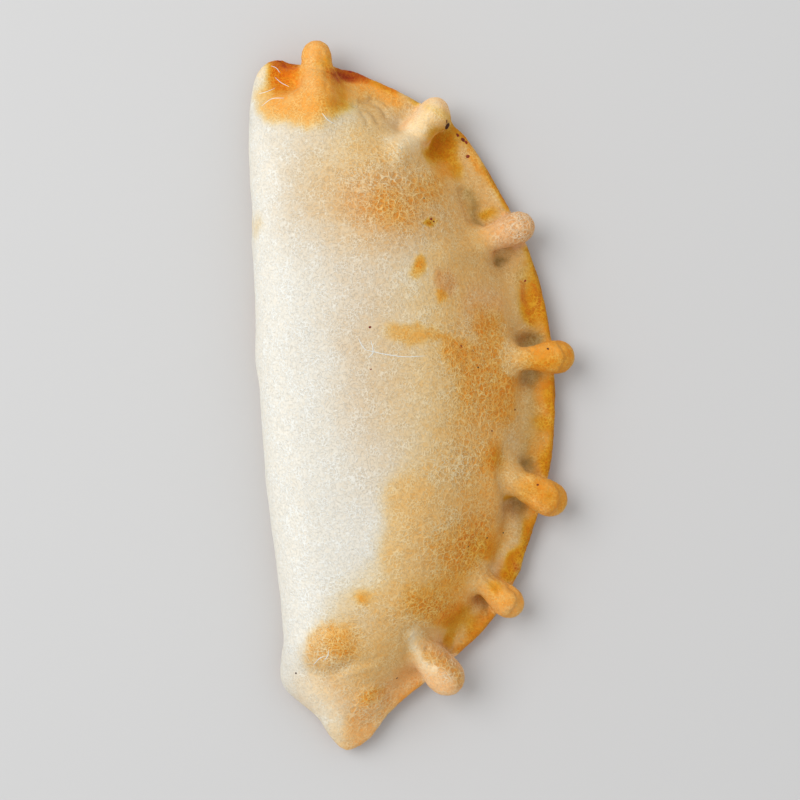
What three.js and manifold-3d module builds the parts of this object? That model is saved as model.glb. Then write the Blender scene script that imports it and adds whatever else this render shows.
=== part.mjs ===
// A baked half-moon empanada: one disc of dough folded over a filling and closed with seven
// pinches. Millimetres, +Z up. +X runs from the folded edge to the pinched rim, +Y along the
// fold from the pointed tail to the blunt corner. It lies on its flat underside.

import * as THREE from 'three';
import { mergeVertices } from 'three/addons/utils/BufferGeometryUtils.js';
import Module from 'manifold-3d';

// Ribs run across the turnover from the folded edge to the rim, tail end first.
const TAIL_TIP = { x: -19.6, y: -71.5, crest: 3.6 };
const RIBS = [
  { fold: [-23.1, -68.2], rim: [-14.3, -68.8], crest: 7.6 },
  { fold: [-26.4, -63.0], rim: [-9.6, -63.8], crest: 10.6 },
  { fold: [-31.0, -57.0], rim: [0.4, -56.6], crest: 14.8 },
  { fold: [-30.5, -45.0], rim: [12.6, -46.2], crest: 20.6 },
  { fold: [-30.8, -32.0], rim: [20.0, -32.8], crest: 24.0 },
  { fold: [-31.4, -15.0], rim: [26.1, -14.6], crest: 26.0 },
  { fold: [-31.6, 4.0], rim: [27.8, 4.0], crest: 26.6 },
  { fold: [-31.3, 22.0], rim: [25.7, 21.5], crest: 26.0 },
  { fold: [-30.8, 37.0], rim: [20.2, 36.9], crest: 24.2 },
  { fold: [-30.6, 47.5], rim: [14.6, 47.6], crest: 20.8 },
  { fold: [-30.2, 55.5], rim: [7.2, 55.6], crest: 17.2 },
  { fold: [-29.2, 61.5], rim: [-7.0, 63.9], crest: 13.6 },
  { fold: [-27.6, 66.4], rim: [-18.6, 67.3], crest: 11.2 },
];
const CORNER_TIP = { x: -23.6, y: 68.4, crest: 5.4 };

const CREST_FRACTION = 0.41; // place of the crown on a rib, from fold to rim
const BELLY_POWER = 2.15; // roundness of the belly on its fold side
const SLOPE_POWER = 2.3; // how long the belly stays high before it falls to the rim
const CREASE_POWER = 1.2; // how softly it runs out into the flat band
const FOLD_HEIGHT_FRACTION = 0.34; // height of the folded edge's widest point, of the crown
const FOLD_UNDERCUT = 7; // how far the rounding under the folded edge reaches in
const FLANGE_WIDTH = 5.5; // flat pressed band between belly and rim
const FLANGE_FRACTION = 0.16; // widest share of a short rib that the band takes
const RIM_THICKNESS = 3.5; // the two pressed layers of dough
const RIM_LIFT = 1.9; // gap under the rim, which curls off the tray
const LIFT_REACH = 15; // how far in from the rim the underside starts to rise
const END_RADIUS = 4.2; // rounding of the two ends, seen from the side

// Pinches, corner end first: axis from root to end, its height at the two, radius at the waist
// and at the end bulb, and whether the lower layer of dough shows as a lip.
const PINCHES = [
  { root: [-15.7, 51.0], end: [-15.7, 68.1], rise: [8.6, 7.4], waist: 3.0, bulb: 3.1, lip: false },
  { root: [-3.7, 43.7], end: [7.2, 55.3], rise: [8.6, 7.4], waist: 2.8, bulb: 2.9, lip: false },
  { root: [7.0, 26.4], end: [22.2, 31.0], rise: [8.6, 7.6], waist: 2.6, bulb: 3.3, lip: false },
  { root: [12.7, 5.0], end: [27.7, 4.7], rise: [8.6, 7.6], waist: 2.5, bulb: 3.3, lip: true },
  { root: [12.4, -15.9], end: [24.2, -23.3], rise: [8.6, 7.5], waist: 2.8, bulb: 3.4, lip: true },
  { root: [6.0, -35.0], end: [14.6, -43.2], rise: [8.6, 7.4], waist: 2.4, bulb: 3.1, lip: true },
  { root: [-8.4, -43.6], end: [1.5, -57.5], rise: [12.8, 7.4], waist: 3.2, bulb: 3.9, lip: false },
];
const ROOT_FLARE = 0.9; // how much thicker a pinch is at its root
const LIP_OUT = 0.85; // how far the lower layer stands out past a pinch's bulb
const LIP_DROP = 1.3; // and how far below the bulb's middle it lies

// Hollows pressed beside the pinches, and the scoop in the corner.
const HOLLOWS = [
  { at: [-22.6, 63.0], width: 4.6, depth: 3.2 },
  { at: [3.0, 50.6], width: 3.2, depth: 1.1 },
  { at: [12.8, 36.4], width: 3.8, depth: 1.5 },
  { at: [18.6, 25.4], width: 3.0, depth: 1.4 },
  { at: [22.2, 8.9], width: 2.6, depth: 2.0 },
  { at: [22.0, 0.4], width: 2.8, depth: 1.5 },
  { at: [20.6, -15.6], width: 3.0, depth: 1.4 },
  { at: [18.4, -24.8], width: 2.8, depth: 1.8 },
  { at: [10.0, -42.6], width: 2.6, depth: 1.4 },
];

const SHORTEST_RIB = 1e-3; // keeps the two tips' ribs from dividing by nothing
const BELLY_AROUND = 44;
const BELLY_ALONG = 74;
const PINCH_AROUND = 14;
const PINCH_ALONG = 12;
const LIP_ALONG = 8;
const WELD_TOLERANCE = 1e-3;

const crust = new THREE.MeshStandardMaterial({ color: 0xe2c694, roughness: 0.72, metalness: 0 });

// The outline is one closed curve: the tail tip, the folded edge, the corner tip, the rim.
const outline = new THREE.CatmullRomCurve3(
  [
    new THREE.Vector3(TAIL_TIP.x, TAIL_TIP.y, 0),
    ...RIBS.map(({ fold }) => new THREE.Vector3(...fold, 0)),
    new THREE.Vector3(CORNER_TIP.x, CORNER_TIP.y, 0),
    ...RIBS.map(({ rim }) => new THREE.Vector3(...rim, 0)).reverse(),
  ],
  true,
  'centripetal',
);
const crown = new THREE.SplineCurve(
  [TAIL_TIP, ...RIBS, CORNER_TIP].map(({ crest }, place) => new THREE.Vector2(place, crest)),
);

// Quarter-round profile: 0 at the edge, 1 at one radius and further in.
function quarterRound(distance, radius) {
  const inward = THREE.MathUtils.clamp(distance / radius, 0, 1);
  return Math.sqrt(1 - (1 - inward) ** 2);
}

// The rib at a share of the length: 0 is the tail tip and 1 the corner tip.
function ribAt(share) {
  const fold = outline.getPoint(share / 2);
  const rim = outline.getPoint(1 - share / 2);
  const width = Math.max(fold.distanceTo(rim), SHORTEST_RIB);
  const crest = crown.getPoint(share).y;
  const tip = share < 0.5 ? TAIL_TIP : CORNER_TIP;
  const middle = fold.clone().lerp(rim, 0.5);
  return {
    fold,
    rim,
    width,
    crest,
    flange: Math.min(FLANGE_WIDTH, FLANGE_FRACTION * width),
    endHeight: tip.crest,
    endRound: quarterRound(Math.abs(middle.y - tip.y), END_RADIUS),
  };
}

function rimLift(toRim) {
  return RIM_LIFT * THREE.MathUtils.smoothstep(LIFT_REACH - toRim, 0, LIFT_REACH);
}

function topHeight(across, rib) {
  const crestAt = CREST_FRACTION * rib.width;
  if (across <= crestAt) {
    const foldHeight = FOLD_HEIGHT_FRACTION * rib.crest;
    const run = Math.max(1 - across / crestAt, 0);
    return foldHeight + (rib.crest - foldHeight) * (1 - run ** BELLY_POWER) ** (1 / BELLY_POWER);
  }
  const toRim = rib.width - across;
  const edge = quarterRound(toRim, RIM_THICKNESS / 2);
  const flangeTop = rimLift(toRim) + (RIM_THICKNESS / 2) * (1 + edge);
  const slope = (across - crestAt) / (rib.width - rib.flange - crestAt);
  const fall = Math.max(1 - slope ** SLOPE_POWER, 0) ** CREASE_POWER;
  return flangeTop + (rib.crest - flangeTop) * fall;
}

function underHeight(across, rib) {
  const foldHeight = FOLD_HEIGHT_FRACTION * rib.crest;
  const undercut = foldHeight * (1 - quarterRound(across, Math.min(FOLD_UNDERCUT, rib.width / 2)));
  const toRim = rib.width - across;
  const edge = quarterRound(toRim, RIM_THICKNESS / 2);
  return undercut + rimLift(toRim) + (RIM_THICKNESS / 2) * (1 - edge);
}

function hollowDepth(x, y) {
  let depth = 0;
  for (const { at, width, depth: deepest } of HOLLOWS) {
    const away = ((x - at[0]) ** 2 + (y - at[1]) ** 2) / width ** 2;
    depth += deepest * Math.exp(-away);
  }
  return depth;
}

// The filled belly and its pressed rim. Around a rib, 0 and 1 are the folded edge, the first
// half is the top and the second half the underside.
function makeBelly() {
  const geometry = new THREE.SphereGeometry(1, BELLY_AROUND, BELLY_ALONG);
  const { position, uv } = geometry.attributes;
  for (let i = 0; i < position.count; i += 1) {
    const rib = ribAt(uv.getY(i));
    const around = uv.getX(i) % 1;
    const share = (1 - Math.cos(2 * Math.PI * around)) / 2;
    const place = rib.fold.clone().lerp(rib.rim, share);
    const across = share * rib.width;
    const isTop = around < 0.5;
    let height = isTop ? topHeight(across, rib) : underHeight(across, rib);
    if (isTop) {
      const roomAbove = height - underHeight(across, rib);
      const inside = THREE.MathUtils.smoothstep(roomAbove, 0, RIM_THICKNESS);
      height -= Math.min(hollowDepth(place.x, place.y), roomAbove / 2) * inside;
    }
    height = rib.endHeight + (height - rib.endHeight) * rib.endRound;
    position.setXYZ(i, place.x, place.y, Math.max(height, 0));
  }
  return geometry;
}

// One pinch: a finger of dough that leaves the belly thick, narrows and ends in a bulb.
function makePinch({ root, end, rise, waist, bulb }) {
  const geometry = new THREE.SphereGeometry(1, PINCH_AROUND, PINCH_ALONG);
  const { position, uv } = geometry.attributes;
  const start = new THREE.Vector3(...root, rise[0]);
  const finish = new THREE.Vector3(...end, rise[1]);
  const axis = finish.clone().sub(start).normalize();
  const side = axis.clone().cross(new THREE.Vector3(0, 0, 1)).normalize();
  const up = side.clone().cross(axis);
  const length = start.distanceTo(finish) + bulb;
  for (let i = 0; i < position.count; i += 1) {
    const along = (length * (1 - Math.cos(Math.PI * uv.getY(i)))) / 2;
    const flare = ROOT_FLARE * (1 - THREE.MathUtils.smoothstep(along, 0, length * 0.4));
    const swell = (bulb - waist) * THREE.MathUtils.smoothstep(along, length * 0.4, length * 0.8);
    const ends = quarterRound(along, waist) * quarterRound(length - along, bulb);
    const radius = (waist + flare + swell) * ends;
    const turn = 2 * Math.PI * (uv.getX(i) % 1);
    const place = start.clone().addScaledVector(axis, along);
    place.addScaledVector(side, -radius * Math.cos(turn));
    place.addScaledVector(up, radius * Math.sin(turn));
    position.setXYZ(i, place.x, place.y, place.z);
  }
  return geometry;
}

// The lower layer of dough, which shows as a crescent past the end of some pinches.
function makeLip({ root, end, rise, bulb }) {
  const outward = new THREE.Vector3(end[0] - root[0], end[1] - root[1], 0).normalize();
  const geometry = new THREE.SphereGeometry(bulb, PINCH_AROUND, LIP_ALONG);
  geometry.rotateX(Math.PI / 2);
  geometry.translate(end[0], end[1], rise[1] - LIP_DROP);
  geometry.translate(outward.x * LIP_OUT, outward.y * LIP_OUT, 0);
  return geometry;
}

const wasm = await Module();
wasm.setup();

function toSolid(geometry) {
  geometry.deleteAttribute('normal');
  geometry.deleteAttribute('uv');
  const welded = mergeVertices(geometry, WELD_TOLERANCE);
  const mesh = new wasm.Mesh({
    numProp: 3,
    vertProperties: new Float32Array(welded.attributes.position.array),
    triVerts: new Uint32Array(welded.index.array),
  });
  return new wasm.Manifold(mesh);
}

function toGeometry(solid) {
  const { vertProperties, triVerts } = solid.getMesh();
  const geometry = new THREE.BufferGeometry();
  geometry.setAttribute('position', new THREE.BufferAttribute(vertProperties, 3));
  geometry.setIndex(new THREE.BufferAttribute(triVerts, 1));
  return geometry;
}

let turnover = toSolid(makeBelly());
for (const pinch of PINCHES) {
  turnover = turnover.add(toSolid(makePinch(pinch)));
  if (pinch.lip) {
    turnover = turnover.add(toSolid(makeLip(pinch)));
  }
}

// The origin is the middle of the footprint, on the surface that the empanada lies on.
const shape = toGeometry(turnover);
shape.computeBoundingBox();
const middle = shape.boundingBox.getCenter(new THREE.Vector3());
shape.translate(-middle.x, -middle.y, -shape.boundingBox.min.z);
shape.computeVertexNormals();

const empanada = new THREE.Mesh(shape, crust);
empanada.name = 'empanada';

const object = new THREE.Group();
object.add(empanada);

export default object;
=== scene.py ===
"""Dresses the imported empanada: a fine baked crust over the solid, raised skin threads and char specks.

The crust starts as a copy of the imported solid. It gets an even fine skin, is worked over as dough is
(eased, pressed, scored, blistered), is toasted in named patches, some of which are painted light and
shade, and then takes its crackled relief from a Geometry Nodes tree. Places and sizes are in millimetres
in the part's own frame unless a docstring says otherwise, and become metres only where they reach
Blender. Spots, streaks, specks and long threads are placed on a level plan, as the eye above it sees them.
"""

import logging
import math
from collections.abc import Iterable, Sequence
from dataclasses import dataclass, field
from enum import Enum

import bpy
import numpy as np
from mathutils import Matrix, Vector
from mathutils.bvhtree import BVHTree


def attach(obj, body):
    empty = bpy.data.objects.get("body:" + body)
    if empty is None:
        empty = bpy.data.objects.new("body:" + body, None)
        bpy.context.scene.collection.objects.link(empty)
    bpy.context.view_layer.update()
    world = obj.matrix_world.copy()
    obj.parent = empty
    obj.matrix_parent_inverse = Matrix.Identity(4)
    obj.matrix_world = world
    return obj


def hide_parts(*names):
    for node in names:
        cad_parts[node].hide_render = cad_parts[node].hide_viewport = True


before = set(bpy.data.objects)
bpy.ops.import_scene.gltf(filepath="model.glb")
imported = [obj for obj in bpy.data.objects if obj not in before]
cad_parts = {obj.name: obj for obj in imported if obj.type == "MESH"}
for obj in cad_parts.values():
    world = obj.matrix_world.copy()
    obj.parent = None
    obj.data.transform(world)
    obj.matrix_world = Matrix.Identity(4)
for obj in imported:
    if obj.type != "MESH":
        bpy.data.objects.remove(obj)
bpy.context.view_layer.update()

NODE = "empanada"
BODY = "root"
MM = 0.001
BAKE_MAP = "OFBake"
# How deep each vertex is browned; at some places the stored value is painted light or shade.
TOASTED_AND_PAINTED_LIGHT = "toasted"
THREADED = "threaded"
BENEATH = "beneath"
THICKNESS = "thickness"
FACING = "facing"
EXTENT = "extent"
TURN = "turn"
REDNESS = "redness"

# The eye hangs over the empanada, and spots and streaks are drawn where it sees them on a level plan.
EYE = (-3.92, -1.55, 457.0)
PLAN_HEIGHT = 7.0
# A look straight down ends after this many metres.
RAY_LENGTH = 0.1
# How far noise moves from one seed to the next, in millimetres.
SEED_STEP = (17.0, 9.0, 5.0)
# Noise seldom strays more than a quarter from its middle, and this stretches a quarter to 1.
SWAY_STRETCH = 4.0

Point = tuple[float, float]
Span = tuple[float, float]
Waves = tuple[float, int]
Path = tuple[Point, ...]
log = logging.getLogger("empanada")


class Tone(Enum):
    """What the oven left on a stretch of crust, with its red, green and blue from 0 to 255; the grey-brown
    shade tone is painted shade, and pale tones also serve as painted light on a few faces turned to the
    window.
    """

    DOUGH = (227, 231, 230)
    CREAM = (242, 247, 247)
    IVORY = (252, 230, 188)
    PEACH = (252, 204, 148)
    OAT = (212, 197, 173)
    WHEAT = (213, 172, 108)
    SAND = (229, 183, 111)
    TAN = (214, 158, 94)
    ROSE = (232, 180, 126)
    BROWN = (228, 138, 34)
    APRICOT = (249, 184, 106)
    HONEY = (240, 169, 74)
    OCHRE = (226, 149, 42)
    ORANGE = (226, 134, 26)
    FLAME = (226, 114, 2)
    AMBER = (200, 122, 4)
    RUST = (146, 44, 3)
    # Painted shade: the darkening that the light leaves in hollows, creases and on the flat band, laid as a
    # tone.
    SHADE = (158, 132, 76)
    UMBER = (60, 26, 12)

    def linear(self) -> np.ndarray:
        """The colour as linear light, from 0 to 1."""
        share = np.array(self.value) / 255
        return np.where(share <= 0.04045, share / 12.92, ((share + 0.055) / 1.055) ** 2.4)

    def depth(self) -> np.ndarray:
        """How far the plain dough's colour moves to reach this tone, which is browning for most tones and
        painted shade for the shade tone: the logarithm of the ratio.
        """
        return np.log(self.linear() / Tone.DOUGH.linear())


class Wire:
    """A node's output, so that a sum of outputs reads as a sum."""

    def __init__(self, bench: "Bench", socket: bpy.types.NodeSocket) -> None:
        """Keeps the socket and the bench that its nodes are made on."""
        self.bench = bench
        self.socket = socket

    def _math(self, operation: str, first: object, second: object) -> "Wire":
        """Adds a Math node that works on two values or outputs."""
        return self.bench.node("ShaderNodeMath", {"operation": operation}, {0: first, 1: second})

    def __add__(self, other: object) -> "Wire":
        """Adds."""
        return self._math("ADD", self, other)

    def __radd__(self, other: object) -> "Wire":
        """Adds, from the right."""
        return self._math("ADD", other, self)

    def __sub__(self, other: object) -> "Wire":
        """Takes away."""
        return self._math("SUBTRACT", self, other)

    def __rsub__(self, other: object) -> "Wire":
        """Is taken away from a number."""
        return self._math("SUBTRACT", other, self)

    def __mul__(self, other: object) -> "Wire":
        """Multiplies."""
        return self._math("MULTIPLY", self, other)

    def __rmul__(self, other: object) -> "Wire":
        """Multiplies, from the right."""
        return self._math("MULTIPLY", other, self)

    def absolute(self) -> "Wire":
        """The value without its sign."""
        return self._math("ABSOLUTE", self, 0.0)

    def at_least(self, other: object) -> "Wire":
        """The larger of this and another value."""
        return self._math("MAXIMUM", self, other)

    def is_over(self, limit: float) -> "Wire":
        """True where the value is over a limit."""
        settings = {"data_type": "FLOAT", "operation": "GREATER_THAN"}
        return self.bench.node("FunctionNodeCompare", settings, {0: self, 1: limit})

    def between(self, start: float, end: float) -> "Wire":
        """What runs evenly from one value at 0 to another at 1."""
        return self * (end - start) + start

    def ramp(self, low: float, high: float, start: float = 0.0, end: float = 1.0) -> "Wire":
        """Eases from one value to another.

        Args:
            low: input at which the ramp starts.
            high: input at which it ends.
            start: value below the ramp.
            end: value above it.

        Returns:
            The eased value.
        """
        values = {"Value": self, "From Min": low, "From Max": high, "To Min": start, "To Max": end}
        return self.bench.node("ShaderNodeMapRange", {"interpolation_type": "SMOOTHSTEP"}, values)


@dataclass(frozen=True)
class Lumps:
    """Smooth noise.

    Args:
        scale: lumps for each millimetre.
        detail: layers of finer lumps.
        roughness: how strong the finer layers are, from 0 to 1.
    """

    scale: float
    detail: float = 2.0
    roughness: float = 0.5


@dataclass(frozen=True)
class Lines:
    """One kind of line in the dried skin.

    Args:
        scale: meshes for each millimetre, or lumps that the lines run between.
        half_width: from a line's middle to its edge, as a share of a mesh or as a step of the noise.
        wander_scale: lumps of the wandering for each millimetre.
        wander: how far the lines wander, in millimetres.
    """

    scale: float
    half_width: float
    wander_scale: float
    wander: float


class Bench:
    """Makes the nodes of one tree and links them."""

    def __init__(self, tree: bpy.types.NodeTree) -> None:
        """Empties the tree that the nodes go in."""
        self.tree = tree
        tree.nodes.clear()

    def make(self, kind: str, settings: dict | None = None, values: dict | None = None) -> bpy.types.Node:
        """Makes one node.

        Args:
            kind: the node's type.
            settings: its properties, set first.
            values: a value, output or Wire for each of its sockets, by name or number.

        Returns:
            The node.
        """
        node = self.tree.nodes.new(kind)
        for name, setting in (settings or {}).items():
            setattr(node, name, setting)
        for name, value in (values or {}).items():
            socket = node.inputs[name]
            if isinstance(value, Wire):
                self.tree.links.new(value.socket, socket)
            elif isinstance(value, bpy.types.NodeSocket):
                self.tree.links.new(value, socket)
            else:
                socket.default_value = value
        return node

    def node(
        self,
        kind: str,
        settings: dict | None = None,
        values: dict | None = None,
        output: str | int | None = None,
    ) -> Wire:
        """Makes one node and gives one of its outputs: the first that is in use, unless it is named."""
        made = self.make(kind, settings, values)
        if output is None:
            return Wire(self, next(socket for socket in made.outputs if socket.enabled))
        return Wire(self, made.outputs[output])

    def vector(self, operation: str, first: object, second: object) -> Wire:
        """Vector Math on two outputs or vectors."""
        return self.node("ShaderNodeVectorMath", {"operation": operation}, {0: first, 1: second}, "Vector")

    def scaled(self, vector: object, factor: object) -> Wire:
        """A vector times a number or an output."""
        values = {0: vector, "Scale": factor}
        return self.node("ShaderNodeVectorMath", {"operation": "SCALE"}, values, "Vector")

    def noise(self, place: Wire, lumps: Lumps, output: str = "Fac") -> Wire:
        """Noise from 0 to 1: one number, or three where the output is Color."""
        values = {"Vector": place, "Scale": lumps.scale, "Detail": lumps.detail, "Roughness": lumps.roughness}
        return self.node("ShaderNodeTexNoise", {"noise_dimensions": "3D"}, values, output)

    def sway(self, place: Wire, lumps: Lumps) -> Wire:
        """A vector that changes smoothly with the place, each part of it from -0.5 to 0.5."""
        return self.vector("SUBTRACT", self.noise(place, lumps, "Color"), (0.5, 0.5, 0.5))

    def wandering(self, place: Wire, lines: Lines) -> Wire:
        """A place shifted about, so that the lines drawn on it wander."""
        sway = self.sway(place, Lumps(lines.wander_scale, detail=3.0, roughness=0.6))
        return self.vector("ADD", place, self.scaled(sway, 2.0 * lines.wander))

    def web(self, place: Wire, lines: Lines) -> Wire:
        """The lines of an irregular net: 1 on a line, 0 off it."""
        settings = {"voronoi_dimensions": "3D", "feature": "DISTANCE_TO_EDGE"}
        values = {"Vector": self.wandering(place, lines), "Scale": lines.scale}
        distance = self.node("ShaderNodeTexVoronoi", settings, values, "Distance")
        return distance.ramp(0.0, lines.half_width, 1.0, 0.0)

    def strands(self, place: Wire, lines: Lines) -> Wire:
        """Long curling lines between the lumps of a noise: 1 on a line, 0 off it."""
        lumps = Lumps(lines.scale, detail=1.0, roughness=0.6)
        level = self.noise(self.wandering(place, lines), lumps) - 0.5
        return level.absolute().ramp(0.0, lines.half_width, 1.0, 0.0)

    def stored(self, name: str) -> Wire:
        """A number that a shader reads from the mesh."""
        return self.node("ShaderNodeAttribute", {"attribute_name": name}, None, "Fac")

    def named(self, name: str, kind: str = "FLOAT") -> Wire:
        """A value that a Geometry Nodes tree reads from the mesh."""
        return self.node("GeometryNodeInputNamedAttribute", {"data_type": kind}, {"Name": name})

    def place(self) -> Wire:
        """Where a point is in a Geometry Nodes tree, in millimetres."""
        return self.scaled(self.node("GeometryNodeInputPosition"), 1 / MM)

    def shifted(self, geometry: Wire, offset: Wire) -> Wire:
        """Geometry with each of its points moved by an offset, in metres."""
        return self.node("GeometryNodeSetPosition", None, {"Geometry": geometry, "Offset": offset})

    def straight_down(self, ground: Wire, name: str, kind: str) -> bpy.types.Node:
        """Looks down from each point: where the ground is, and the named value that it has there."""
        value = self.named(name, kind)
        values = {0: ground, "Attribute": value, "Ray Direction": (0.0, 0.0, -1.0), "Ray Length": RAY_LENGTH}
        return self.make("GeometryNodeRaycast", {"data_type": kind}, values)

    def tubes(self, curves: Wire, radius: Wire, sides: int, swell: Wire) -> Wire:
        """Closed tubes along curves.

        Args:
            curves: the tubes' middle lines.
            radius: in millimetres.
            sides: number of sides round a tube.
            swell: share of the radius at each point.

        Returns:
            The tubes.
        """
        section = {"Resolution": sides, "Radius": radius * MM}
        ring = self.node("GeometryNodeCurvePrimitiveCircle", None, section)
        values = {"Curve": curves, "Profile Curve": ring, "Scale": swell, "Fill Caps": True}
        return self.node("GeometryNodeCurveToMesh", None, values)

    def finish_tree(self, geometry: Wire, material: bpy.types.Material) -> bpy.types.NodeTree:
        """Ends a Geometry Nodes tree: makes instances real, sets the material and gives the tree."""
        whole = self.node("GeometryNodeRealizeInstances", None, {"Geometry": geometry})
        dressed = self.node("GeometryNodeSetMaterial", None, {"Geometry": whole, "Material": material})
        self.make("NodeGroupOutput", None, {0: dressed})
        return self.tree

    def finish_surface(self, values: dict) -> None:
        """Ends a material in one shader that has these values."""
        shader = self.make("ShaderNodeBsdfPrincipled", None, values)
        self.make("ShaderNodeOutputMaterial", None, {"Surface": shader.outputs["BSDF"]})


def start_tree(name: str, sizes: Sequence[str]) -> tuple[Bench, Wire, list[Wire]]:
    """Starts a Geometry Nodes tree with a geometry socket and a number socket for each size.

    Args:
        name: the tree's name.
        sizes: the number sockets' names.

    Returns:
        The tree's bench, the geometry that comes in and the sizes that come in.
    """
    tree = bpy.data.node_groups.new(name, "GeometryNodeTree")
    tree.interface.new_socket("Geometry", in_out="INPUT", socket_type="NodeSocketGeometry")
    for size in sizes:
        tree.interface.new_socket(size, in_out="INPUT", socket_type="NodeSocketFloat")
    tree.interface.new_socket("Geometry", in_out="OUTPUT", socket_type="NodeSocketGeometry")
    bench = Bench(tree)
    given = bench.make("NodeGroupInput").outputs
    return bench, Wire(bench, given[0]), [Wire(bench, given[size]) for size in sizes]


def start_material(name: str) -> tuple[bpy.types.Material, Bench]:
    """Starts a material, and gives it with the bench that its nodes are made on."""
    material = bpy.data.materials.new(name)
    material.use_nodes = True
    return material, Bench(material.node_tree)


def add_object(name: str, data: bpy.types.ID) -> bpy.types.Object:
    """Makes an object of a mesh, a light or a camera, and links it."""
    made = bpy.data.objects.new(name, data)
    bpy.context.scene.collection.objects.link(made)
    return made


def put_on(piece: bpy.types.Object, tree: bpy.types.NodeTree, sizes: Sequence[float]) -> None:
    """Shapes a piece with a tree, given a value for each of its number sockets, into a plain mesh."""
    modifier = piece.modifiers.new(tree.name, "NODES")
    modifier.node_group = tree
    sockets = [item for item in tree.interface.items_tree if item.in_out == "INPUT"]
    for socket, size in zip(sockets[1:], sizes, strict=True):
        modifier[socket.identifier] = size
    keep_result(piece)


def keep_result(piece: bpy.types.Object) -> None:
    """Turns a piece, as its modifiers leave it, into a plain mesh."""
    graph = bpy.context.evaluated_depsgraph_get()
    mesh = bpy.data.meshes.new_from_object(piece.evaluated_get(graph))
    piece.modifiers.clear()
    piece.data = mesh


def store(mesh: bpy.types.Mesh, name: str, values: Sequence) -> None:
    """Stores a number or a vector for each vertex under a name."""
    rows = np.array(values, np.float32)
    kind, part = ("FLOAT", "value") if rows.ndim == 1 else ("FLOAT_VECTOR", "vector")
    mesh.attributes.new(name, kind, "POINT").data.foreach_set(part, rows.ravel())


def lay_on_crust(mesh: bpy.types.Mesh, tree: bpy.types.NodeTree, sizes: Sequence[float]) -> bpy.types.Object:
    """Makes a small piece that lies on the crust.

    Args:
        mesh: what the tree starts from; the piece gets its name.
        tree: what shapes the piece.
        sizes: a value for each of the tree's number sockets.

    Returns:
        The finished piece.
    """
    piece = add_object(mesh.name, mesh)
    put_on(piece, tree, sizes)
    piece.data.shade_smooth()
    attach(piece, BODY)
    return piece


def size_of(piece: bpy.types.Object) -> str:
    """A line for the log: a piece's name and the size of its mesh."""
    triangles = sum(len(polygon.vertices) - 2 for polygon in piece.data.polygons)
    return f"{piece.name}: {len(piece.data.vertices)} vertices, {triangles} triangles"


def on_spline(points: Sequence[Sequence[float]], steps: int = 8) -> np.ndarray:
    """A smooth path through points.

    Args:
        points: the points, in order.
        steps: pieces between two neighbours.

    Returns:
        The path's points, one row each.
    """
    known = np.array(points, float)
    padded = np.vstack([2 * known[0] - known[1], known, 2 * known[-1] - known[-2]])
    rows = [known[0]]
    for before, start, end, after in zip(padded, padded[1:], padded[2:], padded[3:]):
        for step in range(1, steps + 1):
            t = step / steps
            bend = 2 * before - 5 * start + 4 * end - after
            twist = 3 * start - before - 3 * end + after
            rows.append(0.5 * (2 * start + (end - before) * t + bend * t**2 + twist * t**3))
    return np.array(rows)


def path_distance(places: np.ndarray, path: np.ndarray) -> np.ndarray:
    """How far each place is from a path.

    Args:
        places: rows of coordinates, as many as the path has.
        path: the path's points.

    Returns:
        One distance for each place.
    """
    nearest = np.full(len(places), np.inf)
    for start, end in zip(path, path[1:]):
        run = end - start
        share = np.clip(((places - start) @ run) / max(run @ run, 1e-9), 0, 1)
        away = places - start - share[:, None] * run
        nearest = np.minimum(nearest, np.einsum("ij,ij->i", away, away))
    return np.sqrt(nearest)


def from_path(places: np.ndarray, path: Path) -> np.ndarray:
    """How far each place is from a smooth path through points, seen level."""
    return path_distance(places[:, :2], on_spline(path))


def eased(values: np.ndarray, low: float, high: float) -> np.ndarray:
    """Eases values from 0 at low to 1 at high."""
    share = np.clip((values - low) / (high - low), 0, 1)
    return share * share * (3 - 2 * share)


def bell(away: np.ndarray, reach: float) -> np.ndarray:
    """Falls as a bell does, from 1 at 0 to about a third at the reach."""
    return np.exp(-((away / reach) ** 2))


def drift(places: np.ndarray, span: float, seed: int, waves: int = 7) -> np.ndarray:
    """Smooth random values, mostly between -1 and 1.

    Args:
        places: rows of coordinates.
        span: usual distance from one crest to the next.
        seed: picks the waves.
        waves: how many waves are added up.

    Returns:
        One value for each place.
    """
    dice = np.random.default_rng(seed)
    total = np.zeros(len(places))
    for _ in range(waves):
        way = dice.normal(size=3)
        way *= dice.uniform(0.6, 1.5) * 2 * math.pi / (span * np.linalg.norm(way))
        total += np.sin(places @ way + dice.uniform(0, 2 * math.pi))
    return total / math.sqrt(waves)


def wandered(places: np.ndarray, span: float, reach: float, seed: int) -> np.ndarray:
    """Places shifted about smoothly, so that a patch laid by them gets an uneven outline."""
    shifts = [reach * drift(places, span, seed + axis) for axis in range(2)]
    return places + np.stack([*shifts, np.zeros(len(places))], axis=1)


def on_plan(places: np.ndarray) -> np.ndarray:
    """Where places fall on the plan that spots and streaks are drawn on.

    Args:
        places: rows of coordinates.

    Returns:
        Across and along for each place, where the eye over the middle sees it on the level plan.
    """
    eye = np.array(EYE)
    share = (eye[2] - PLAN_HEIGHT) / (eye[2] - places[:, 2:])
    return eye[:2] + (places[:, :2] - eye[:2]) * share


@dataclass(frozen=True)
class Spot:
    """A round or oval place on the crust, seen from above.

    Args:
        at: its middle.
        size: half its length and half its width.
        turn: the way its length runs, in degrees from +X.
        crisp: how sudden its edge is: 1 is soft, 3 is nearly a line.
    """

    at: Point
    size: Point
    turn: float = 0.0
    crisp: float = 1.0

    def weight(self, places: np.ndarray) -> np.ndarray:
        """How far each place is inside: 1 in the middle, falling to 0."""
        angle = math.radians(self.turn)
        along = np.array([math.cos(angle), math.sin(angle)])
        away = on_plan(places) - np.array(self.at)
        first = away @ along / self.size[0]
        second = (away @ np.array([-along[1], along[0]])) / self.size[1]
        return np.exp(-((first**2 + second**2) ** self.crisp))


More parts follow.
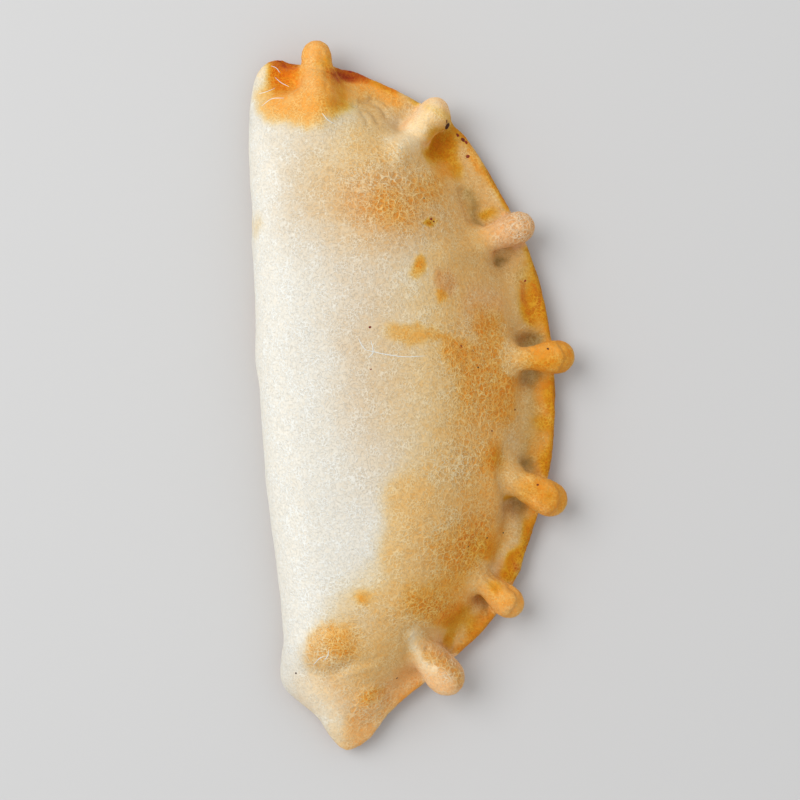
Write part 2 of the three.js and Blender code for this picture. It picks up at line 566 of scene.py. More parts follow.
@dataclass(frozen=True)
class Streak:
    """A stretch of crust that follows a path, seen from above."""

    path: Path
    half_width: float
    crisp: float = 1.0

    def weight(self, places: np.ndarray) -> np.ndarray:
        """How far each place is inside: 1 on the path, falling to 0."""
        distance = path_distance(on_plan(places), on_spline(self.path, 4))
        return np.exp(-((distance / self.half_width) ** (2 * self.crisp)))


@dataclass(frozen=True)
class ToastAndPaintedLight:
    """A tone on a spot or a streak: browning at most places, painted light or shade at some."""

    tone: Tone
    where: Spot | Streak
    strength: float = 1.0


@dataclass(frozen=True)
class Dent:
    """A place pressed into the upper side, or raised where the depth is below 0."""

    where: Spot | Streak
    depth: float
    spares_pinches: bool = True


@dataclass(frozen=True)
class Knock:
    """A shallow knock in the folded side or the rim, or a bulge where the depth is below 0."""

    at: tuple[float, float, float]
    reach: float
    depth: float


@dataclass(frozen=True)
class Pinch:
    """One pinch of the rim, a rounded finger of dough.

    Args:
        root: where its axis starts in the belly.
        end: where its axis ends, in the middle of its bulb.
        bulb: half its thickness.
        shows_from: how far along the pinch it stands clear of the belly, from 0 to 1.
        tone: of its end.
        root_tone: of its root.
        root_height: of the axis at the root.
        end_height: of the axis at the end.
        waist: how far it is drawn in between the two.
        waist_at: where the waist is, from 0 to 1.
        knob: how far its end swells.
    """

    root: Point
    end: Point
    bulb: float
    shows_from: float
    tone: Tone
    root_tone: Tone
    root_height: float = 8.6
    end_height: float = 7.5
    waist: float = 0.0
    waist_at: float = 0.68
    knob: float = 0.0

    def distance(self, places: np.ndarray) -> np.ndarray:
        """How far each place, in three dimensions, is from the pinch's axis."""
        path = np.array([[*self.root, self.root_height], [*self.end, self.end_height]])
        return path_distance(places, path)

    def along(self, places: np.ndarray) -> np.ndarray:
        """How far along the pinch each place is: 0 at its root, 1 at the middle of its bulb."""
        start = np.array(self.root)
        run = np.array(self.end) - start
        return ((places[:, :2] - start) @ run) / (run @ run)


PINCHES = (
    Pinch((-15.8, 51.2), (-15.8, 68.3), 3.1, 0.50, Tone.HONEY, Tone.HONEY),
    Pinch((-3.8, 43.9), (7.1, 55.5), 2.9, 0.46, Tone.PEACH, Tone.PEACH),
    Pinch((6.9, 26.6), (22.1, 31.2), 3.3, 0.48, Tone.ROSE, Tone.SAND, waist=0.2),
    Pinch((12.6, 5.2), (27.6, 4.9), 3.3, 0.46, Tone.OCHRE, Tone.SAND, waist=0.3, knob=0.2),
    Pinch((12.3, -15.7), (24.1, -23.1), 3.4, 0.52, Tone.OCHRE, Tone.SAND, knob=0.2),
    Pinch((5.9, -34.8), (14.5, -43.0), 3.1, 0.52, Tone.HONEY, Tone.SAND, knob=0.3),
    Pinch((-8.5, -43.4), (1.4, -57.3), 3.9, 0.32, Tone.PEACH, Tone.SAND, 12.8, waist=0.5, waist_at=0.42),
)

# Where the belly meets the flat band, and the rim's outline.
CREASE = (
    (-12.0, 60.3), (-4.0, 56.0), (2.0, 51.5), (9.5, 43.5), (14.6, 34.5), (19.6, 21.5), (22.1, 6.0),
    (20.7, -12.5), (15.4, -30.0), (9.2, -41.6), (0.5, -49.5), (-6.0, -54.5),
)

RIM = (
    (-23.7, 68.6), (-18.7, 67.5), (-7.1, 64.1), (7.1, 55.8), (14.5, 47.8), (20.1, 37.1), (25.6, 21.7),
    (27.7, 4.2), (26.0, -14.4), (19.9, -32.6), (12.5, -46.0), (0.3, -56.4), (-9.7, -63.6),
    (-14.4, -68.6), (-19.7, -71.3),
)
RIM_MIDDLE_HEIGHT = 3.65

# Stretches of crust that get a smoothing of their own.
TAIL = Spot((-13.0, -63.5), (9.0, 8.0), 45)
BASIN = Spot((-4.4, 56.6), (8.0, 3.6), -32, 1.4)
CORNER = Spot((-22.4, 64.2), (5.0, 4.6), 0)
TIP = Spot((-16.6, -69.6), (6.0, 4.0), 0)

DENTS = (
    # The corner's bowl, the first pinch's ridge beside it and the hollow on its other side.
    Dent(Spot((-22.6, 65.0), (2.9, 3.1), 0, 1.3), 2.2),
    Dent(Spot((-20.4, 64.4), (1.6, 2.6)), 1.3),
    Dent(Streak(((-15.7, 63.4), (-15.8, 60.0), (-16.0, 57.4), (-16.4, 55.4)), 3.3, 1.2), -2.0, False),
    Dent(Spot((-10.2, 60.4), (2.2, 2.4)), 0.6),
    # The ridge, the hollow and the end of the second pinch, and the ridge of the third.
    Dent(Streak(((6.4, 54.5), (4.3, 52.4), (1.9, 50.4), (-0.4, 48.3)), 2.5, 1.2), -1.5, False),
    Dent(Spot((0.9, 53.1), (1.8, 1.4), -40), 0.7),
    Dent(Spot((8.6, 53.2), (1.7, 2.2), 0, 1.2), -1.1, False),
    Dent(Streak(((13.7, 27.5), (10.1, 26.9), (7.7, 26.9)), 2.3), -0.7, False),
    # The corner's two lips, and the basin between the first two pinches.
    Dent(Streak(((-29.9, 57.4), (-29.0, 61.4), (-27.2, 65.0), (-24.6, 67.4)), 1.0), -0.5),
    Dent(Streak(((-27.4, 58.6), (-24.3, 60.0), (-20.9, 61.0)), 1.6), -0.5),
    Dent(Spot((-3.2, 56.6), (5.4, 2.0), -32), 0.7),
    Dent(Spot((0.2, 52.6), (1.6, 1.4), 0), 0.4),
    # The blisters at the lower end, the fold above the last pinch, and two low ripples.
    Dent(Spot((-21.9, -50.0), (5.2, 3.9), 15, 1.8), -1.4),
    Dent(Spot((-13.7, -60.8), (2.8, 2.3), 0, 1.6), -1.2),
    Dent(Streak(((-6.5, -49.9), (-6.2, -48.5), (-4.9, -47.6), (-3.5, -47.4), (-2.2, -47.9), (-1.0, -48.7)),
                0.9, 1.2), 0.4, False),
    Dent(Streak(((-20.2, -56.1), (-17.3, -55.3), (-14.5, -54.7), (-12.0, -54.5)), 0.6), -0.15),
    Dent(Streak(((-20.5, -54.7), (-17.6, -53.9), (-14.8, -53.3), (-11.9, -52.9)), 0.9), 0.15),
    # The lower crease, and the belly that stands up behind it.
    Dent(Streak(((15.9, -13.0), (15.7, -19.0), (15.8, -24.0), (15.4, -29.0), (13.9, -33.5), (11.9, -37.0)),
                1.2), 0.5, False),
    Dent(Streak(((13.4, -13.0), (13.2, -19.0), (13.4, -25.0), (12.4, -30.0), (10.6, -34.0)), 2.0), -0.6),
    # The hollows beside the pinches.
    Dent(Spot((7.7, 47.6), (2.6, 3.4), 40), 1.3),
    Dent(Spot((15.2, 34.4), (1.9, 3.2), 20), 0.8),
    Dent(Streak(((11.4, 39.1), (12.0, 36.4), (12.6, 34.2), (14.1, 32.5)), 0.8), 0.9),
    Dent(Spot((18.2, 25.2), (1.7, 1.3), 10), 1.1),
    Dent(Spot((22.6, 8.4), (1.7, 1.4), 0), 1.7),
    Dent(Spot((22.4, 0.8), (2.0, 1.5), -20), 1.1),
    Dent(Spot((20.6, -16.6), (2.2, 1.4), -30), 0.9),
    Dent(Spot((18.0, -23.8), (2.2, 1.7), 60), 1.5),
    Dent(Spot((16.6, -21.6), (1.1, 1.0), 0), 0.7),
    Dent(Spot((9.9, -42.0), (1.5, 1.7), 60), 0.9),
    # Soft waves of the flat band.
    Dent(Spot((24.6, 13.6), (1.8, 3.6), 8), 0.35),
    Dent(Spot((24.2, -6.6), (1.5, 4.0), 0), 0.35),
    Dent(Spot((17.9, -33.0), (1.6, 2.6), -30), 0.4),
    Dent(Spot((5.6, -50.4), (2.0, 3.2), -45), 0.35),
    Dent(Spot((17.4, 41.0), (1.4, 3.0), 30), 0.3),
    # The pits of the last pinch, and one beside the longest thread.
    Dent(Spot((-1.9, -51.6), (1.0, 0.5), -20), 0.6, False),
    Dent(Spot((-1.3, -54.6), (0.5, 0.4), 0), 0.2, False),
    Dent(Spot((-11.2, 8.6), (0.8, 0.6), 0), 0.2),
)

GROOVES = (
    # Round the ends of the fourth, fifth and sixth pinches.
    Dent(Streak(((28.6, 8.1), (29.8, 6.1), (30.2, 4.6), (29.5, 3.1), (28.3, 1.4)), 0.5), 0.5, False),
    Dent(Streak(((26.1, -20.2), (27.0, -22.2), (26.9, -24.0), (26.2, -25.8), (24.5, -27.2)), 0.5),
         0.5, False),
    Dent(Streak(((15.4, -40.1), (16.8, -41.4), (17.2, -43.1), (16.6, -44.6), (15.6, -45.6)), 0.5),
         0.5, False),
    # Along the same three pinches, and on the flat band between the last two of them.
    Dent(Streak(((18.7, -18.8), (20.8, -20.1), (23.0, -21.1)), 0.35), 0.34, False),
    Dent(Streak(((19.5, -21.6), (21.4, -23.4), (22.7, -25.1)), 0.35), 0.28, False),
    Dent(Streak(((11.1, -38.7), (12.8, -40.4), (13.3, -42.4)), 0.35), 0.34, False),
    Dent(Streak(((22.7, 6.6), (24.9, 5.9), (26.7, 6.3)), 0.35), 0.28, False),
    Dent(Streak(((21.8, -28.6), (20.3, -30.1), (19.1, -32.4), (18.2, -34.5)), 0.45), 0.3),
    # Along the first pinch, and the creases of the basin beside it.
    Dent(Streak(((-14.9, 69.0), (-14.2, 66.2), (-14.0, 63.4), (-14.4, 61.0)), 0.4), 0.22, False),
    Dent(Streak(((-17.2, 68.4), (-17.4, 65.8), (-16.9, 63.0)), 0.35), 0.15, False),
    Dent(Streak(((-9.0, 58.0), (-6.8, 57.4), (-5.1, 55.9), (-4.4, 54.2)), 0.4), 0.6),
    Dent(Streak(((-7.7, 58.7), (-5.3, 58.3), (-3.4, 57.0), (-2.6, 55.3)), 0.4), 0.6),
    Dent(Streak(((-5.5, 59.1), (-3.5, 58.6), (-2.0, 57.3)), 0.4), 0.45),
    Dent(Streak(((-7.5, 56.4), (-6.6, 55.2), (-6.5, 54.0)), 0.4), 0.4),
)

KNOCKS = (
    Knock((-31.2, 38.9, 8.5), 1.8, 0.4),
    Knock((-31.8, 31.0, 8.0), 3.0, -0.25),
    Knock((-31.9, 8.0, 9.0), 5.0, -0.5),
    Knock((-31.9, 3.4, 9.0), 1.6, 0.5),
    Knock((-31.6, -18.0, 8.5), 7.0, -0.35),
    Knock((-30.6, -47.8, 7.0), 2.2, 0.35),
    Knock((-30.9, -56.0, 6.0), 3.4, -0.5),
    Knock((-25.3, -64.2, 3.5), 3.2, 0.8),
    Knock((-19.5, -71.3, 4.0), 3.0, -0.5),
    Knock((-14.9, -69.0, 4.0), 2.6, -0.6),
    Knock((17.4, -37.2, 4.0), 1.8, -0.4),
    Knock((12.6, 51.0, 4.0), 3.0, -0.5),
    Knock((-8.6, 65.0, 4.0), 2.4, -0.4),
)

TOASTS_AND_PAINTED_LIGHT = (
    # The belly: golden over the half that the oven's top heat reached, oat-coloured in the middle.
    # The pale folded side: partly its own pale dough and partly painted light where that side faces the
    # window.
    ToastAndPaintedLight(Tone.CREAM, Streak(((-28.5, 50.0), (-29.5, 20.0), (-29.5, -10.0), (-27.0, -46.0)), 5.0, 1.2), 0.9),
    ToastAndPaintedLight(Tone.OAT, Spot((-8.0, 8.0), (9.5, 28.0), 0, 1.4), 0.9),
    ToastAndPaintedLight(Tone.OAT, Spot((-17.0, 42.0), (9.0, 14.0), 0, 1.3), 0.8),
    ToastAndPaintedLight(Tone.SAND,
          Streak(((2.0, 50.0), (9.0, 40.0), (13.0, 31.0), (13.4, 19.5), (13.0, 8.0), (12.4, -6.0),
                  (10.4, -20.0), (7.0, -32.0), (0.0, -42.0), (-8.0, -48.0)), 12.0, 1.8), 1.0),
    ToastAndPaintedLight(Tone.SAND, Spot((-5.0, 44.0), (14.0, 11.0), -20, 1.3), 0.45),
    ToastAndPaintedLight(Tone.SAND, Streak(((-5.7, -21.5), (-6.3, -27.4), (-6.2, -33.5)), 2.8, 1.2), 0.6),
    ToastAndPaintedLight(Tone.SAND, Spot((0.0, -29.0), (5.0, 14.0), 12, 2.2), 0.9),
    ToastAndPaintedLight(Tone.SAND, Spot((-2.0, 4.0), (7.0, 22.0), 0, 1.3), 0.3),
    ToastAndPaintedLight(Tone.TAN, Spot((-4.6, 36.8), (10.5, 7.8), -20, 1.5), 0.95),
    ToastAndPaintedLight(Tone.BROWN, Spot((-2.0, 37.2), (4.6, 3.6), -35, 1.2), 0.6),
    ToastAndPaintedLight(Tone.BROWN, Spot((4.6, 40.2), (3.2, 2.8), -35, 1.3), 0.5),
    ToastAndPaintedLight(Tone.OAT, Spot((-1.4, 30.0), (8.0, 3.6), -10), 0.3),
    ToastAndPaintedLight(Tone.BROWN, Spot((-0.4, 11.8), (5.4, 2.3), -3, 2.2), 0.4),
    ToastAndPaintedLight(Tone.BROWN, Streak(((4.4, 10.6), (7.2, 9.4), (9.4, 8.2), (11.6, 7.0)), 0.7), 0.6),
    ToastAndPaintedLight(Tone.WHEAT,
          Streak(((17.6, 30.0), (19.6, 20.0), (20.4, 8.0), (19.6, -6.0), (16.6, -20.0), (11.0, -33.0)), 4.4),
          0.7),
    ToastAndPaintedLight(Tone.ROSE, Spot((13.6, 14.4), (3.4, 5.2), 0, 1.3), 0.8),
    ToastAndPaintedLight(Tone.BROWN, Spot((13.6, 13.4), (2.4, 3.2), 0, 1.3), 0.5),
    ToastAndPaintedLight(Tone.BROWN, Spot((12.8, 0.4), (5.4, 6.8), -20, 1.6), 1.0),
    ToastAndPaintedLight(Tone.BROWN, Spot((9.6, 5.8), (4.4, 2.6), -25, 1.4), 0.9),
    ToastAndPaintedLight(Tone.ORANGE, Spot((14.4, 1.8), (3.4, 4.6), -10, 1.3), 0.6),
    ToastAndPaintedLight(Tone.ORANGE, Streak(((15.0, 10.8), (15.4, 5.1), (15.8, 0.1), (16.1, -5.0)), 2.6, 1.2), 0.85),
    ToastAndPaintedLight(Tone.HONEY,
          Streak(((14.0, 8.2), (13.6, -2.8), (12.7, -10.7), (11.6, -20.7), (8.9, -30.5), (5.5, -39.3)),
                 4.4, 1.3), 0.6),
    ToastAndPaintedLight(Tone.BROWN, Spot((14.2, -15.2), (2.8, 3.2), 0, 1.5), 1.0),
    ToastAndPaintedLight(Tone.AMBER, Spot((14.6, -15.0), (1.6, 1.8), 0, 1.3), 0.4),
    ToastAndPaintedLight(Tone.BROWN, Spot((8.0, -31.6), (6.4, 4.6), 25, 1.6), 1.0),
    ToastAndPaintedLight(Tone.OCHRE, Streak(((10.0, -32.2), (6.1, -36.7), (1.4, -39.6), (-3.1, -41.7)), 2.6, 1.2), 0.6),
    ToastAndPaintedLight(Tone.AMBER, Spot((10.4, -32.6), (2.8, 2.0), 25, 1.2), 0.35),
    ToastAndPaintedLight(Tone.ORANGE, Spot((1.6, -44.2), (5.0, 2.8), -12, 1.4), 1.0),
    ToastAndPaintedLight(Tone.AMBER, Spot((4.0, -46.4), (2.6, 2.2), 0, 1.4), 0.75),
    ToastAndPaintedLight(Tone.BROWN, Spot((-4.4, -41.4), (2.6, 2.8), 0), 0.3),
    ToastAndPaintedLight(Tone.OAT, Spot((-14.6, -45.4), (5.0, 4.0), 0), 0.45),
    # The blisters, the tail and a small spot above them.
    ToastAndPaintedLight(Tone.SAND, Spot((-17.4, -55.0), (8.0, 6.5), 0, 1.4), 0.55),
    ToastAndPaintedLight(Tone.PEACH, Spot((-21.2, -59.3), (7.0, 5.0), 0, 1.3), 0.55),
    ToastAndPaintedLight(Tone.TAN, Spot((-21.5, -49.7), (5.4, 4.0), 20, 2.0), 0.6),
    ToastAndPaintedLight(Tone.HONEY, Spot((-21.2, -49.7), (4.8, 3.7), 20, 1.6), 0.5),
    ToastAndPaintedLight(Tone.BROWN, Spot((-18.4, -49.4), (2.4, 3.0), 0, 1.3), 0.6),
    ToastAndPaintedLight(Tone.SAND, Spot((-11.6, -60.0), (7.0, 8.0), 30, 1.8), 0.75),
    ToastAndPaintedLight(Tone.APRICOT, Streak(((-15.0, -61.4), (-16.0, -64.4), (-16.6, -68.6)), 3.8, 1.2), 0.85),
    ToastAndPaintedLight(Tone.ORANGE, Spot((-13.7, -60.8), (2.5, 2.3), 0, 1.6), 0.9),
    ToastAndPaintedLight(Tone.APRICOT,
          Streak(((-9.6, -59.3), (-13.0, -62.3), (-16.1, -66.5), (-19.1, -69.1), (-21.1, -69.5)), 2.4, 1.2),
          0.7),
    # The tail's paler left face: partly pale dough and partly painted light where it faces the window.
    ToastAndPaintedLight(Tone.IVORY, Streak(((-24.0, -58.6), (-22.8, -64.0), (-20.2, -71.6)), 2.3, 1.2), 0.6),
    ToastAndPaintedLight(Tone.CREAM, Streak(((-26.1, -58.1), (-24.7, -61.0), (-23.5, -64.3)), 1.3, 1.2), 0.4),
    ToastAndPaintedLight(Tone.BROWN, Spot((-13.7, -40.4), (1.4, 1.3)), 0.55),
    # The flat band, the basin and the browned edge, with painted shade on the band.
    ToastAndPaintedLight(Tone.WHEAT, Streak(((-8.0, 61.8), (4.0, 55.0), (12.4, 46.6), (18.0, 36.0), (23.4, 22.0)), 3.0, 1.4),
          0.85),
    ToastAndPaintedLight(Tone.WHEAT, Streak(((23.4, 22.0), (25.4, 6.0), (24.2, -12.0), (19.0, -30.0)), 3.2, 1.4), 1.0),
    # Painted shade along the foot of the belly, on the flat band.
    ToastAndPaintedLight(Tone.SHADE, Streak(((22.4, 22.0), (23.4, 10.0), (22.6, -10.0), (18.4, -28.0)), 2.4, 1.2), 0.35),
    ToastAndPaintedLight(Tone.BROWN, Streak(((24.6, 18.0), (25.8, 4.0), (24.4, -14.0), (21.4, -26.0)), 2.4, 1.2), 0.5),
    ToastAndPaintedLight(Tone.TAN, Streak(((15.0, -38.0), (8.0, -48.0), (-1.0, -55.0), (-8.0, -60.0)), 3.4, 1.4), 0.9),
    # Painted shade on the flat band between the last two pinches.
    ToastAndPaintedLight(Tone.SHADE, Streak(((12.4, -42.0), (8.0, -48.0), (5.6, -50.6)), 2.6, 1.4), 0.5),
    ToastAndPaintedLight(Tone.BROWN, Streak(((9.1, -47.6), (6.7, -50.6), (4.1, -53.0)), 1.8, 1.4), 0.5),
    # Darker brown there, partly browning and partly painted shade.
    ToastAndPaintedLight(Tone.AMBER, Streak(((5.4, -45.5), (4.3, -47.4), (2.1, -49.7)), 1.2, 1.3), 0.5),
    ToastAndPaintedLight(Tone.SAND, Streak(((8.8, -43.3), (6.9, -46.8), (4.3, -50.2)), 1.4, 1.3), 0.75),
    ToastAndPaintedLight(Tone.APRICOT, Streak(((0.0, -55.0), (-5.0, -57.4), (-10.0, -61.4)), 2.8, 1.4), 0.75),
    ToastAndPaintedLight(Tone.OAT, Spot((-3.1, 55.7), (4.4, 2.0), -32), 0.35),
    ToastAndPaintedLight(Tone.SAND, Spot((-4.9, 56.7), (4.4, 1.6), -32), 0.4),
    ToastAndPaintedLight(Tone.HONEY, Streak(((-9.5, 62.4), (-5.2, 60.1), (-1.0, 58.0)), 2.1, 1.4), 1.0),
    ToastAndPaintedLight(Tone.BROWN, Streak(((11.0, 52.4), (14.2, 48.4), (19.6, 38.2), (22.6, 31.0)), 1.3, 1.3), 0.7),
    ToastAndPaintedLight(Tone.AMBER, Streak(((23.6, 28.0), (26.2, 18.0), (27.4, 9.0)), 1.4, 1.3), 0.8),
    ToastAndPaintedLight(Tone.AMBER, Streak(((27.6, 2.0), (27.2, -7.0), (25.9, -15.0), (25.0, -18.5)), 1.5, 1.4), 0.95),
    # The rim between the fifth and sixth pinches: browned, and darker still as painted shade where it turns
    # down.
    ToastAndPaintedLight(Tone.AMBER, Streak(((20.3, -28.3), (18.6, -32.2), (17.2, -35.1), (15.4, -40.0)), 1.5, 1.4), 1.0),
    ToastAndPaintedLight(Tone.BROWN, Streak(((13.0, -46.0), (6.0, -52.0)), 1.4, 1.3), 0.7),
    # The corner: an orange bowl and shoulder round the first pinch, scorched beyond it. The ridge of the
    # second pinch stays pale.
    ToastAndPaintedLight(Tone.HONEY, Spot((-19.6, 60.7), (8.0, 6.5), 4, 3.2), 1.0),
    ToastAndPaintedLight(Tone.HONEY, Spot((-14.4, 61.6), (4.0, 6.0), 0, 2.2), 0.95),
    ToastAndPaintedLight(Tone.APRICOT, Spot((-21.6, 60.0), (4.6, 3.0), 10, 1.4), 0.35),
    ToastAndPaintedLight(Tone.ORANGE, Spot((-22.6, 65.0), (4.2, 4.0), 0, 2.4), 1.0),
    ToastAndPaintedLight(Tone.FLAME, Spot((-22.4, 66.2), (3.6, 3.2), 0, 1.6), 0.95),
    ToastAndPaintedLight(Tone.RUST, Spot((-22.2, 66.9), (2.2, 0.8), -4), 0.6),
    # The corner's pale lip: partly pale dough and partly painted light where its wall faces the window.
    ToastAndPaintedLight(Tone.IVORY, Streak(((-28.4, 65.0), (-26.6, 67.6), (-24.0, 68.9), (-20.6, 68.6)), 0.8), 0.7),
    ToastAndPaintedLight(Tone.ORANGE, Streak(((-11.6, 65.2), (-5.0, 62.4), (-1.4, 60.2)), 1.6, 1.5), 0.9),
    ToastAndPaintedLight(Tone.IVORY, Streak(((4.4, 55.0), (0.6, 51.8), (-3.4, 49.8)), 2.0), 0.75),
    ToastAndPaintedLight(Tone.RUST, Spot((-9.7, 64.1), (3.0, 1.8), -30, 1.8), 1.0),
    ToastAndPaintedLight(Tone.IVORY, Streak(((2.6, 50.9), (0.4, 48.9), (-1.7, 47.2)), 2.0), 0.5),
    ToastAndPaintedLight(Tone.IVORY, Streak(((3.1, 52.9), (0.9, 50.6), (-0.6, 48.3)), 2.0), 0.4),
    ToastAndPaintedLight(Tone.OAT, Spot((-1.6, 54.0), (3.0, 2.2), 30), 0.4),
    # The rim side of the second pinch, and the small stains of the belly below it.
    ToastAndPaintedLight(Tone.AMBER, Spot((7.6, 48.2), (3.0, 2.8), 50, 1.7), 1.0),
    ToastAndPaintedLight(Tone.AMBER, Spot((10.4, 44.6), (1.3, 2.6), 20, 1.2), 0.6),
    ToastAndPaintedLight(Tone.BROWN, Spot((8.2, 43.4), (2.6, 2.2), 0, 1.3), 0.6),
    ToastAndPaintedLight(Tone.AMBER, Spot((15.8, 33.6), (1.2, 0.9), 30), 0.6),
    ToastAndPaintedLight(Tone.AMBER, Spot((5.0, 33.9), (0.9, 0.7), 0, 1.4), 1.0),
    ToastAndPaintedLight(Tone.OCHRE, Spot((1.0, 24.8), (1.5, 1.8), -30, 2.0), 0.95),
    ToastAndPaintedLight(Tone.TAN, Spot((7.0, 21.4), (2.8, 2.4), -30, 2.0), 0.95),
    ToastAndPaintedLight(Tone.OCHRE, Spot((5.9, 19.2), (1.2, 1.1), 0, 1.7), 0.8),
    # Brown blotches on the flat band.
    ToastAndPaintedLight(Tone.AMBER, Spot((24.2, 17.0), (2.0, 4.6), 8, 1.1), 0.65),
    ToastAndPaintedLight(Tone.RUST, Streak(((21.8, 19.9), (22.3, 17.3), (23.5, 15.0), (23.6, 13.0)), 0.4, 1.2), 0.25),
    ToastAndPaintedLight(Tone.RUST, Streak(((24.0, 19.0), (25.1, 17.7), (25.4, 15.9), (24.1, 14.7)), 0.35, 1.2), 0.2),
    ToastAndPaintedLight(Tone.AMBER, Spot((23.4, 14.2), (1.2, 1.8), 10), 0.6),
    ToastAndPaintedLight(Tone.AMBER, Spot((24.4, -8.6), (1.3, 1.9), 30, 1.3), 0.6),
    ToastAndPaintedLight(Tone.RUST, Spot((18.3, -36.2), (0.6, 1.2), 10), 0.5),
    # A bare white flake on the belly, and a stain on the folded side.
    ToastAndPaintedLight(Tone.CREAM, Spot((-26.4, 15.1), (0.9, 1.3), -30, 1.6), 1.0),
    ToastAndPaintedLight(Tone.SAND, Spot((-31.0, 35.4), (1.2, 2.0)), 0.25),
)

# Laid over the pinches' tones, but not on the pinches: mostly painted shade in the hollows and the crease
# beside them, with a paler streak along the lower crease and darker brown spots.
HOLLOW_TOASTS_AND_SHADE = (
    ToastAndPaintedLight(Tone.OAT,
          Streak(((17.9, -11.1), (16.5, -17.0), (15.9, -22.0), (16.2, -26.2), (14.8, -31.9), (12.5, -36.8)),
                 1.4), 0.28),
    # Painted shade, in a brown tone, on the flat band between the last two pinches.
    ToastAndPaintedLight(Tone.AMBER, Spot((7.4, -48.5), (3.0, 1.4), -50), 0.45),
    # Painted shade in the hollows and the crease beside the pinches.
    ToastAndPaintedLight(Tone.SHADE, Streak(((12.6, 38.4), (13.4, 35.6), (13.2, 32.6), (14.6, 31.0)), 1.2), 0.6),
    ToastAndPaintedLight(Tone.SHADE, Spot((18.0, 24.8), (1.3, 0.9), 10), 0.9),
    ToastAndPaintedLight(Tone.SHADE, Spot((22.8, 8.3), (1.8, 1.4)), 1.0),
    ToastAndPaintedLight(Tone.SHADE, Spot((22.4, 0.4), (2.0, 1.6)), 0.45),
    ToastAndPaintedLight(Tone.SHADE, Spot((20.6, -16.4), (2.0, 1.3)), 0.7),
    ToastAndPaintedLight(Tone.SHADE, Spot((18.2, -24.0), (1.9, 1.7), 60), 0.45),
    ToastAndPaintedLight(Tone.AMBER, Spot((16.9, -21.8), (0.9, 1.0), 60), 0.7),
    ToastAndPaintedLight(Tone.AMBER, Spot((10.2, -41.8), (1.2, 1.4), 60), 0.5),
)

# Laid last, on the pinches themselves: browned tones, with painted light and shade on the first and the last
# pinch.
PINCH_TOASTS_AND_PAINTED_LIGHT = (
    # The first pinch's shoulder and right side, darker: partly browning and partly painted shade on the side
    # away from the window.
    ToastAndPaintedLight(Tone.AMBER, Spot((-12.8, 58.0), (3.0, 2.0), 20, 1.2), 0.4),
    ToastAndPaintedLight(Tone.OCHRE, Spot((-14.8, 60.4), (3.4, 3.4), 0, 1.2), 0.45),
    ToastAndPaintedLight(Tone.AMBER, Streak(((-11.5, 59.5), (-11.7, 62.8), (-12.6, 66.8)), 0.9), 0.3),
    # A painted highlight on the first pinch's left side, which faces the window.
    ToastAndPaintedLight(Tone.APRICOT, Streak(((-16.0, 70.5), (-17.0, 66.4), (-17.3, 61.8)), 1.8), 0.6),
    ToastAndPaintedLight(Tone.IVORY, Streak(((7.8, 56.6), (5.6, 54.7), (3.5, 52.5), (0.5, 49.5)), 2.0), 0.75),
    ToastAndPaintedLight(Tone.SAND, Streak(((9.7, 55.2), (9.3, 52.5)), 1.2), 0.4),
    ToastAndPaintedLight(Tone.TAN, Spot((24.0, 30.2), (2.6, 1.2), 30), 0.4),
    ToastAndPaintedLight(Tone.APRICOT, Streak(((22.3, 6.2), (26.3, 7.0), (29.1, 6.2)), 0.9), 0.4),
    ToastAndPaintedLight(Tone.AMBER, Spot((26.1, 3.2), (2.6, 0.8), 0), 0.3),
    ToastAndPaintedLight(Tone.APRICOT, Streak(((20.6, -23.3), (23.4, -25.9), (26.0, -26.1)), 0.8), 0.55),
    ToastAndPaintedLight(Tone.APRICOT, Streak(((19.7, -19.2), (22.9, -19.9), (25.8, -21.3)), 0.8), 0.35),
    ToastAndPaintedLight(Tone.AMBER, Spot((24.7, -23.0), (1.0, 0.8), 0), 0.4),
    ToastAndPaintedLight(Tone.APRICOT, Streak(((11.6, -43.5), (13.5, -45.5), (15.5, -45.4)), 1.0), 0.5),
    ToastAndPaintedLight(Tone.AMBER, Spot((12.8, -40.2), (1.4, 0.9), -40), 0.4),
    ToastAndPaintedLight(Tone.TAN, Streak(((-2.2, -51.6), (1.0, -54.4), (3.4, -57.4), (4.1, -59.0)), 1.8, 1.3), 0.8),
    # Painted light on the last pinch's root and left side, which face the window.
    ToastAndPaintedLight(Tone.IVORY, Streak(((-4.7, -49.6), (-3.7, -52.5), (-2.1, -56.2)), 1.6), 0.75),
    ToastAndPaintedLight(Tone.CREAM, Streak(((-4.6, -49.2), (-4.0, -51.7), (-2.8, -54.6)), 1.2), 0.25),
    ToastAndPaintedLight(Tone.BROWN, Streak(((-1.5, -52.8), (1.1, -55.2)), 1.0), 0.3),
    ToastAndPaintedLight(Tone.BROWN, Streak(((2.7, -56.5), (3.7, -58.6)), 1.0), 0.4),
)

# Where the skin is cracked into raised threads.
THREAD_PATCHES = (
    Spot((1.5, -55.5), (5.6, 3.0), -48, 1.5),
    Spot((21.6, 31.2), (5.0, 3.0), 20, 1.3),
    Spot((-2.0, 40.0), (11.0, 8.0), -20),
    Spot((12.5, 2.0), (8.0, 13.0), 0, 1.4),
    Spot((8.5, -15.0), (6.5, 6.0), 0, 1.2),
    Spot((7.0, -31.0), (9.0, 7.0), 25, 1.3),
    Spot((0.0, -44.0), (8.0, 4.0), 0),
    Spot((-20.9, -50.0), (5.6, 4.6), 15, 1.4),
    Spot((-14.5, -61.5), (4.5, 4.5), 0, 1.4),
)

